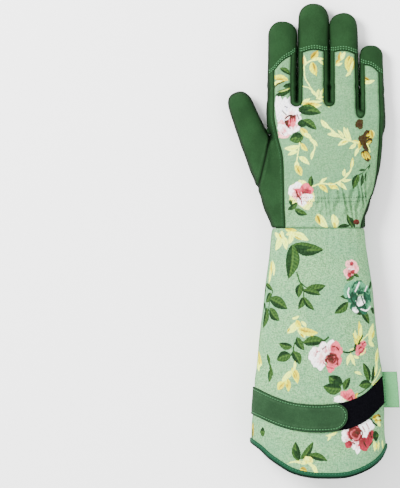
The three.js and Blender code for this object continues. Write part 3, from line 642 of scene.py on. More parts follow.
def hand_panels():
    """The hand's surface cut along its seams: vertices, triangles and each triangle's piece."""
    points, faces = hand_surface(HAND_STEP)
    points, faces = split(points, faces, points[:, 2] - SEAM_HEIGHT)
    height = points[faces].mean(axis=1)[:, 2]
    above = faces[height > SEAM_HEIGHT]
    below = faces[height <= SEAM_HEIGHT]
    for level in (lambda p: p[:, 1], cap_level, back_level, thumb_level):
        points, above = split(points, above, level(points))
    for level in (lambda p: p[:, 1] - wrist_dip(p[:, 0]), thenar_level, finger_tip_level,
                  thumb_tip_level):
        points, below = split(points, below, level(points))
    middle = points[above].mean(axis=1)
    finger = np.digitize(middle[:, 0], [gap_x(i) for i in range(3)])
    capped = cap_level(middle) > 0
    printed = back_level(middle) > 0
    thumb = (thumb_level(middle) > 0) & (middle[:, 0] < -40)
    little_line = np.interp(middle[:, 1], [0, 60], [33.0, 50.5])
    strip = 1 + sum((middle[:, 0] > finger_axis(FINGERS[i], GAPS_AT)).astype(int) for i in (1, 2))
    strip[middle[:, 0] < -28.2] = 0
    strip[middle[:, 0] > little_line] = 4
    caps = np.array(["cap_" + finger["name"] for finger in FINGERS])
    names = np.where(printed, "back_panel", np.array(STRIPS)[strip])
    names = np.where(thumb, "thumb_back", np.where(capped, caps[finger], names))
    keep = middle[:, 1] > 0
    above, names = above[keep], names[keep]
    middle = points[below].mean(axis=1)
    tips = np.where(middle[:, 0] < gap_x(0), "touch_tip_index", "touch_tip_middle")
    lower = np.where(finger_tip_level(middle) > 0, tips, "palm")
    thumb = np.where(thumb_tip_level(middle) > 0, "touch_tip_thumb", "thumb_palm")
    lower = np.where((thenar_level(middle) > 0) & (middle[:, 0] < -8), thumb, lower)
    keep = middle[:, 1] > wrist_dip(middle[:, 0])
    below, lower = below[keep], lower[keep]
    return points, np.vstack([above, below]), np.concatenate([names, lower])


def seam_gap(points):
    """Distance from each of the hand's vertices to its nearest seam."""
    x, y, z = points.T
    above, under = z >= SEAM_HEIGHT - 0.01, z <= SEAM_HEIGHT + 0.01
    cap, back, thenar = cap_level(points), back_level(points), thenar_level(points)
    off_strip = np.maximum(0, -back - 0.6) * 3
    seams = [
        (above | under, wrist_level(points)), (above, np.abs(cap) + off_strip), (above & (cap <= 0.3), back),
        (above & (x < -40) & (y < 90), thumb_level(points)), (under & (y < 95), thenar),
        (under & (y > 60), finger_tip_level(points)), (under & (thenar > 0), thumb_tip_level(points)),
    ]
    gap = np.abs(z - SEAM_HEIGHT)
    for where, level in seams:
        gap = np.where(where, np.minimum(gap, np.abs(level)), gap)
    return gap


def dress_hand(points, normals, gap):
    """Moves the hand's vertices: seams sink, leather puffs between them and the wrist gathers."""
    x, y, z = points.T
    move = -0.85 * bell(gap, 1.3) + 0.35 * bell(gap - 2.6, 1.7)
    move += 0.28 * ripple(points, 34, 11) + 0.12 * ripple(points, 12, 12)
    above = z > SEAM_HEIGHT + 2
    on_back = above & (back_level(points) > -6) & (y < 60)
    # The elastic rows draw the back in, and pleats run out from them towards the wrist and the hand
    rows = bell(y - elastic_y(x), 17.0) * smooth_step(-34, 22, x) * smooth_step(3, 12, y)
    rows *= smooth_step(0.5, 5, back_level(points))
    pleats = np.sin(2 * math.pi * (x / 5.2 + 0.5 * np.sin(x / 7.3) + 0.3 * np.sin(y / 6.0 + x / 3.1)))
    strong = 0.8 + 0.7 * smooth_step(8, 26, x)
    move += np.where(on_back, rows * (strong * pleats - 0.9 + 0.7 * ripple(points, 6, 13)), 0)
    creases = bell(y - elastic_y(x), 1.2) + bell(y - elastic_y(x) - ELASTIC_STEP, 1.2)
    move += np.where(on_back, -0.5 * creases * smooth_step(-34, -20, x), 0)
    # The thumb's web folds, and soft creases cross the fingers and the thumb
    fold = np.array([(-0.412 * KNUCKLES, 0.66 * PALM_LENGTH), (-46.0, 62.0), (-41.0, 46.0)])
    move += np.where(above, -0.8 * bell(line_distance(points[:, :2], fold), 2.6), 0)
    for finger, share in zip(FINGERS, (0.36, 0.34, 0.35, 0.4)):
        near = (np.abs(x - finger_axis(finger, y)) < finger_half(finger, y) + 2) & (y > 112)
        bend = y - FINGER_ROOT - share * finger_length(finger) + 0.02 * (x - finger_axis(finger, y)) ** 2
        move += np.where(near, -0.35 * bell(bend, 2.2) + 0.25 * bell(bend - 4, 2.5), 0)
    return points + normals * move[:, None]


def elastic_y(x):
    """Y of the lower row of elastic stitches across the back of the wrist."""
    return ELASTIC_AT + 0.0012 * (x - 10.0) ** 2


# The cuff's surface
cuff_flare = smooth_curve(CUFF["at"], CUFF["flare"])
cuff_rise = smooth_curve(CUFF["at"], CUFF["rise"])
hem_drop = smooth_curve(HEM["across"], HEM["drop"])


def power_of(angle):
    return 2 / np.where(np.sin(angle) >= 0, UPPER_POWER, LOWER_POWER)


def across_of(angle):
    return np.sign(np.cos(angle)) * np.abs(np.cos(angle)) ** power_of(angle)


def angle_at(across):
    return np.arccos(np.sign(across) * np.abs(across) ** (UPPER_POWER / 2))


def hem_y(angle):
    return -CUFF_LENGTH - HEM_DROP * hem_drop(across_of(angle))


def cuff_half(y):
    at = -np.asarray(y) / (CUFF_LENGTH + HEM_DROP)
    return (WRIST_WIDTH + (MOUTH_WIDTH - WRIST_WIDTH) * cuff_flare(at)) / 2


def cuff_point(angle, y, out=0.0):
    """A point on the cuff at an angle from +X over the top, moved outwards by a distance."""
    at = -y / (CUFF_LENGTH + HEM_DROP)
    half = cuff_half(y)
    bottom = PALM_LIFT + (CUFF_LIFT - PALM_LIFT) * np.clip(at / 0.2, 0, 1)
    low_top = PALM_LIFT + WRIST_HEIGHT
    top = low_top + (CUFF_LIFT + MOUTH_HEIGHT - low_top) * cuff_rise(at)
    side = bottom + SIDE_SHARE * (top - bottom)
    rise = np.abs(np.sin(angle)) ** power_of(angle)
    z = np.where(
        np.sin(angle) >= 0,
        side + (top + out - side) * rise,
        np.maximum(bottom - out, side - LOWER_FLAT * (side - bottom + out) * rise),
    )
    return np.stack([(half + out) * across_of(angle), y, z], axis=-1)


strap_dip = smooth_curve(STRAP["across"], STRAP["dip"])


def strap_line(across):
    return -STRAP_AT - STRAP_SAG * strap_dip(across)


def cuff_wave(points, angle):
    """How far the cloth of the cuff stands out: soft waves, a dip under the strap, side seams."""
    x, y, _ = points.T
    wave = 0.5 * ripple(points, 60, 21) + 0.22 * ripple(points * [1, 0.4, 1], 22, 22)
    near_wrist = bell(y, 20.0)
    wave += near_wrist * 0.35 * np.sin(2 * math.pi * (x / 6.5 + 0.4 * np.sin(x / 9)))
    across = across_of(angle)
    over = np.sin(angle) > 0
    strap = y - strap_line(across)
    wave += np.where(over, -0.9 * bell(strap, 12.0) ** 2 + 0.5 * bell(np.abs(strap) - 20, 7.0), 0)
    wave -= 0.7 * bell(y, 2.2)
    seam = np.abs(np.sin(angle)) * 40
    wave -= 0.8 * bell(seam, 2.4)
    return wave * smooth_step(0.5, 14, y - hem_y(angle))


def level_angles(over, columns):
    """Angles of columns that lie evenly across the cuff's upper or lower half."""
    end, gap = (0.0, -OVER_GAP) if over else (2 * math.pi, UNDER_GAP)
    dense = np.linspace(math.pi + gap, end - gap, FINE_ANGLES)
    run = cuff_point(dense, np.full(FINE_ANGLES, -150.0))
    reach = reach_along(run)
    return np.interp(np.linspace(0, reach[-1], columns + 1), reach, dense)


# Meshes
def add_object(name, data):
    obj = bpy.data.objects.new(name, data)
    bpy.context.scene.collection.objects.link(obj)
    return obj


# For the number of values at each vertex: the kind of an attribute, and the field that holds it
LAYERS = {1: ("FLOAT", "value"), 3: ("FLOAT_VECTOR", "vector"), 4: ("FLOAT_COLOR", "color")}


def make_object(name, points, faces, attributes=None, sharp=None):
    """A smooth-shaded object from points in millimetres and triangles or quads."""
    mesh = bpy.data.meshes.new(name)
    world = ((points + ORIGIN) * MM).astype(np.float32)
    mesh.vertices.add(len(world))
    mesh.vertices.foreach_set("co", world.ravel())
    sizes = np.concatenate([np.full(len(f), f.shape[1]) for f in faces])
    mesh.loops.add(int(sizes.sum()))
    mesh.loops.foreach_set("vertex_index", np.concatenate([f.ravel() for f in faces]).astype(np.int32))
    mesh.polygons.add(len(sizes))
    starts = np.concatenate([[0], np.cumsum(sizes)[:-1]]).astype(np.int32)
    mesh.polygons.foreach_set("loop_start", starts)
    mesh.update(calc_edges=True)
    mesh.polygons.foreach_set("use_smooth", np.ones(len(sizes), dtype=bool))
    for key, values in (attributes or {}).items():
        kind, field = LAYERS[values.size // len(values)]
        layer = mesh.attributes.new(key, kind, "POINT")
        layer.data.foreach_set(field, values.astype(np.float32).ravel())
    if sharp is not None and len(sharp):
        edges = np.empty(2 * len(mesh.edges), dtype=np.int32)
        mesh.edges.foreach_get("vertices", edges)
        edges = np.sort(edges.reshape(-1, 2), axis=1).astype(np.int64)
        wanted = np.sort(sharp, axis=1).astype(np.int64)
        n = len(points)
        hard = np.isin(edges[:, 0] * n + edges[:, 1], wanted[:, 0] * n + wanted[:, 1])
        layer = mesh.attributes.new("sharp_edge", "BOOLEAN", "EDGE")
        layer.data.foreach_set("value", hard)
    mesh.validate()
    return add_object(name, mesh)


def sides_of(triangles):
    """The three directed sides of every triangle."""
    return np.vstack([triangles[:, [0, 1]], triangles[:, [1, 2]], triangles[:, [2, 0]]])


def edge_loops(triangles, count):
    """Directed edges that belong to one triangle alone."""
    edges = sides_of(triangles).astype(np.int64)
    keys = edges[:, 0] * count + edges[:, 1]
    back = edges[:, 1] * count + edges[:, 0]
    return edges[~np.isin(keys, back)]


def leather_piece(name, points, triangles, inner, attributes):
    """A closed piece: its outer skin, the same skin further in and a rim between them."""
    used, local = np.unique(triangles, return_inverse=True)
    local = local.reshape(-1, 3)
    n = len(used)
    border = edge_loops(local, n)
    a, b = border.T
    walls = np.column_stack([b, a, a + n, b + n])
    both = np.vstack([points[used], inner[used]])
    data = {key: np.concatenate([v[used], v[used]]) for key, v in attributes.items()}
    triangles = np.vstack([local, local[:, ::-1] + n])
    sharp = np.vstack([border, border + n])
    return make_object(name, both, [triangles, walls], data, sharp)


def refined(triangles, count):
    """Triangles cut into four each, and the pairs of vertices whose middles are added."""
    edges, place = np.unique(np.sort(sides_of(triangles), axis=1), axis=0, return_inverse=True)
    ab, bc, ca = (count + place.ravel()).reshape(3, len(triangles))
    a, b, c = triangles.T
    corners = [(a, ab, ca), (ab, b, bc), (ca, bc, c), (ab, bc, ca)]
    return edges, np.vstack([np.column_stack(corner) for corner in corners])


def grid_faces(rows, columns, start, flip):
    """Quads between the rows and columns of a grid of vertices."""
    i, j = np.meshgrid(np.arange(columns), np.arange(rows))
    a = start + j * (columns + 1) + i
    quads = np.stack([a, a + 1, a + columns + 2, a + columns + 1], axis=-1).reshape(-1, 4)
    return quads[:, ::-1] if flip else quads


def outward(points, quads):
    """Quads of a closed shell, all turned so that they face out."""
    a, b, c, d = (points[quads[:, k]] for k in range(4))
    volume = np.einsum("ij,ij->i", a, np.cross(b, c) + np.cross(c, d)).sum()
    return quads[:, ::-1] if volume < 0 else quads


def borders(index):
    """The four borders of a grid, and for each whether it runs the other way round."""
    return [(index[0], False), (index[-1], True), (index[:, 0], True), (index[:, -1], False)]


def two_sided(top, bottom):
    """Points and quads of a thin closed piece between two grids of points."""
    rows, columns = top.shape[0] - 1, top.shape[1] - 1
    n = (rows + 1) * (columns + 1)
    faces = [grid_faces(rows, columns, 0, False), grid_faces(rows, columns, n, True)]
    for line, turned in borders(np.arange(n).reshape(rows + 1, columns + 1)):
        a, b = line[:-1], line[1:]
        quad = np.column_stack([b, a, a + n, b + n])
        faces.append(quad[:, ::-1] if turned else quad)
    points = np.vstack([top.reshape(-1, 3), bottom.reshape(-1, 3)])
    return points, outward(points, np.vstack(faces))


def finish_piece(obj, material, slot, *nodes):
    """Gives a piece its material and its body, and hides the CAD nodes it stands for. The slot is not used.
    """
    obj.data.materials.append(material)
    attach(obj, "root")
    if nodes:
        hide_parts(*nodes)
    return obj


# Print: motifs of roses, leaves and sprigs, painted onto the cloth's vertices
INK = {
    "dark": (0.003, 0.009, 0.003), "leaf": (0.0105, 0.030, 0.0065), "light": (0.046, 0.100, 0.018),
    "cream": (0.72, 0.90, 0.13), "straw": (0.64, 0.68, 0.012), "yellow": (0.60, 0.52, 0.002),
    "gold": (0.31, 0.20, 0.001), "peach": (0.74, 0.46, 0.10), "white": (0.93, 0.93, 0.92),
    "lilac": (0.66, 0.66, 0.84), "blush": (0.86, 0.36, 0.36), "pink": (0.62, 0.09, 0.13),
    "rose": (0.27, 0.010, 0.035), "crimson": (0.085, 0.0015, 0.008), "ruby": (0.022, 0.001, 0.003),
    "brown": (0.026, 0.0075, 0.0018), "teal": (0.012, 0.062, 0.035), "deep_teal": (0.003, 0.013, 0.009),
    "mint": (0.07, 0.26, 0.13),
}
# For each ink of a leaf: the ink of its shaded half, and of its veins
SHADES = {
    "leaf": ("dark", "light"), "dark": ("dark", "leaf"), "light": ("leaf", "cream"),
    "cream": ("cream", "straw"), "yellow": ("straw", "gold"), "gold": ("yellow", "brown"),
    "peach": ("cream", "gold"), "white": ("white", "lilac"), "brown": ("ruby", "gold"),
    "teal": ("deep_teal", "mint"),
}
# The petals of a rose of radius 1: inks of rim and foot, place, half length, half width, turn
ROSE_PETALS = [
    (0, 1, -0.55, 0.05, 0.62, 0.62, 190), (0, 1, -0.75, 0.3, 0.32, 0.34, 150),
    (0, 1, -0.5, -0.42, 0.42, 0.3, 230), (0, 1, -0.13, 0.4, 0.5, 0.44, 120),
    (0, 1, 0.2, 0.22, 0.55, 0.42, 95), (0, 2, -0.1, 0.6, 0.44, 0.28, 120),
    (0, 2, 0.33, 0.64, 0.48, 0.28, 85), (0, 2, -0.3, -0.55, 0.42, 0.24, 250),
    (2, 3, 0.58, 0.62, 0.42, 0.31, 60), (2, 3, 0.84, 0.35, 0.26, 0.32, -10),
    (2, 3, 0.32, -0.6, 0.52, 0.28, 265), (2, 3, 0.72, -0.36, 0.28, 0.42, -40),
    (2, 3, 0.63, 0.1, 0.32, 0.32, 30),
]


def blend(a, b, share):
    """Colours between a and b, with one share for each vertex."""
    return a + (b - a) * share[:, None]


def way_of(turn):
    """The direction of a turn in degrees."""
    return np.array([math.cos(math.radians(turn)), math.sin(math.radians(turn))])


def inks(*names):
    return [np.array(INK[name]) for name in names]


class Print:
    """The ink on a piece of cloth, over vertices at flat places in millimetres."""

    def __init__(self, places, place_of):
        self.places = places
        self.place_of = place_of
        self.edge = np.full(len(places), BARE)
        self.colour = np.tile(np.array(SAGE), (len(places), 1))
        self.shade = 1 + 0.17 * ripple(places, 3.1, 31) + 0.13 * ripple(places, 1.7, 32)

    def about(self, x, y, turn, radius):
        """Vertices near a plan point, and their places along and across a turn."""
        u, v = self.place_of(x, y)
        place = self.places - [u, v]
        which = np.nonzero(np.abs(place).max(axis=1) < radius + 3)[0]
        c, s = way_of(turn)
        return which, place[which] @ [c, s], place[which] @ [-s, c]

    def lay(self, which, inside, colour):
        """Lays ink where inside is positive, and lets it reach a little past the edge."""
        near = inside > -2.5
        which, inside = which[near], inside[near]
        colour = np.clip(colour[near] * self.shade[which, None], 0, 1)
        take = (inside > 0) | (inside > self.edge[which])
        self.colour[which[take]] = colour[take]
        self.edge[which] = np.maximum(self.edge[which], inside)

    def leaf(self, ink, x, y, length, turn, width):
        """A pointed, slightly bent leaf from its foot at x, y."""
        which, along, across = self.about(x, y, turn, length)
        u = along / length
        t = np.clip(u, 0, 1)
        bend = 0.06 * length * math.copysign(1, math.sin(x + 2 * y))
        v = across - bend * np.sin(math.pi * t)
        half = 0.54 * width * np.sin(math.pi * t**0.85) ** 0.8
        inside = np.minimum(half - np.abs(v), np.minimum(u, 1 - u) * length * 0.5 + 0.25)
        body, side, vein = inks(ink, *SHADES[ink])
        s = v / np.maximum(half, 0.4)
        colour = blend(side, body, smooth_step(-0.25, 0.35, s))
        if ink in ("leaf", "dark", "teal"):
            ribs = 0.5 + 0.5 * np.sin(2 * math.pi * (u * length / 3.4 - 0.9 * np.abs(s)))
            light = bell(s, 0.16) * 0.7 + ribs**3 * 0.55 * smooth_step(-0.6, 0.3, s)
            light += 0.3 * smooth_step(0.3, 0.8, s)
            colour = blend(colour, vein, np.clip(light, 0, 1))
            colour = blend(colour, side, 0.8 * smooth_step(0.66, 0.98, np.abs(s)))
        else:
            streak = 0.5 + 0.5 * np.sin(5.2 * s + 2.5 * u + x)
            deep = bell(s - 0.15, 0.34) * (0.25 + 0.6 * streak) * smooth_step(1.0, 0.4, u)
            colour = blend(colour, vein, deep)
        self.lay(which, inside, colour)

    def petal(self, rim, foot, x, y, long, broad, turn):
        """A petal round x, y with half sizes: the rim's ink at its turned end, the foot's behind."""
        which, along, across = self.about(x, y, turn, max(long, broad))
        u, v = along / long, across / broad
        around = np.arctan2(v, u)
        level = (np.abs(u) ** 2.2 + np.abs(v) ** 2.2) ** (1 / 2.2)
        level = level + 0.05 * np.sin(5 * around + x) + 0.04 * np.sin(9 * around + y)
        rim, foot = inks(rim, foot)
        streak = 0.22 * np.sin(7 * v + 3 * u + x) + 0.1 * np.sin(15 * v + y)
        deep = smooth_step(0.55, -0.65, u + streak) * smooth_step(1.0, 0.7, level)
        edge = 0.3 * bell(level - 0.97, 0.07)
        colour = blend(rim, foot, np.clip(0.85 * deep + edge, 0, 1))
        self.lay(which, (1 - level) * min(long, broad), colour)

    def swirl(self, light, deep, x, y, radius, turn):
        """The curled heart of a rose: a spiral of paler petal edges round a deep middle."""
        which, along, across = self.about(x, y, turn, radius)
        far = np.hypot(along, across) / radius
        around = np.arctan2(across, along) / (2 * math.pi)
        wobble = 0.13 * np.sin(6 * math.pi * around + 6 * far) + 0.05 * np.sin(14 * around)
        turns = np.mod(1.7 * far - around + wobble, 1)
        band = smooth_step(0.35, 0.95, turns) * smooth_step(0.12, 0.6, far)
        light, deep = inks(light, deep)
        rim = 1 + 0.12 * np.sin(19 * around) + 0.06 * np.sin(47 * around)
        self.lay(which, (rim - far) * radius, blend(deep, light, band * (0.2 + 0.8 * far)))

    def line(self, ink, width, *corners):
        """A brush line through plan points."""
        flat = [self.place_of(*corner) for corner in np.reshape(corners, (-1, 2))]
        line = rounded_line(flat, 1.5)
        near = np.abs(self.places - line.mean(axis=0)).max(axis=1)
        which = np.nonzero(near < np.abs(line - line.mean(axis=0)).max() + 3)[0]
        gap = line_distance(self.places[which], line)
        self.lay(which, 0.55 * width - gap, np.tile(INK[ink], (len(which), 1)))

    def sprig(self, ink, x, y, length, turn, leaves, size, bend):
        """A bent stem with leaves on both sides and one at its end."""
        turns = turn + bend * (np.linspace(0, 1, leaves + 1) - 0.5)
        steps = length / leaves * np.column_stack([np.cos(np.radians(turns)), np.sin(np.radians(turns))])
        knots = np.vstack([[x, y], np.array([x, y]) + np.cumsum(steps[:-1], axis=0)])
        self.line(ink, 0.9, *knots.ravel())
        for i in range(1, leaves):
            lean = (48 + 9 * math.sin(3.1 * i + x)) * (1 if i % 2 else -1)
            grow = size * (0.85 + 0.2 * math.sin(2.3 * i + y))
            self.leaf(ink, *knots[i], grow, turns[i] + lean, 0.42 * grow)
        self.leaf(ink, *knots[-1], size, turns[-1], 0.42 * size)

    def rose(self, pale, mid, heart, deep, x, y, radius, turn):
        """A full rose seen from the side: pale petals to its left and a deep heart to its right."""
        layers = (pale, mid, heart, deep)
        c, s = radius * way_of(turn)
        for rim, foot, across, up, long, broad, lean in ROSE_PETALS:
            place = x + across * c - up * s, y + across * s + up * c
            self.petal(layers[rim], layers[foot], *place, long * radius, broad * radius, lean + turn)
        self.swirl(mid, deep, x + 0.35 * c + 0.16 * s, y + 0.35 * s - 0.16 * c, 0.46 * radius, turn + 40)

    def blossom(self, rim, foot, middle, x, y, radius, turn, petals=5):
        """An open flower of round petals."""
        for lean in turn + 360 * np.arange(petals) / petals:
            place = [x, y] + 0.55 * radius * way_of(lean)
            self.petal(rim, foot, *place, 0.5 * radius, 0.38 * radius, lean)
        self.petal(middle, foot, x, y, 0.22 * radius, 0.2 * radius, 90)


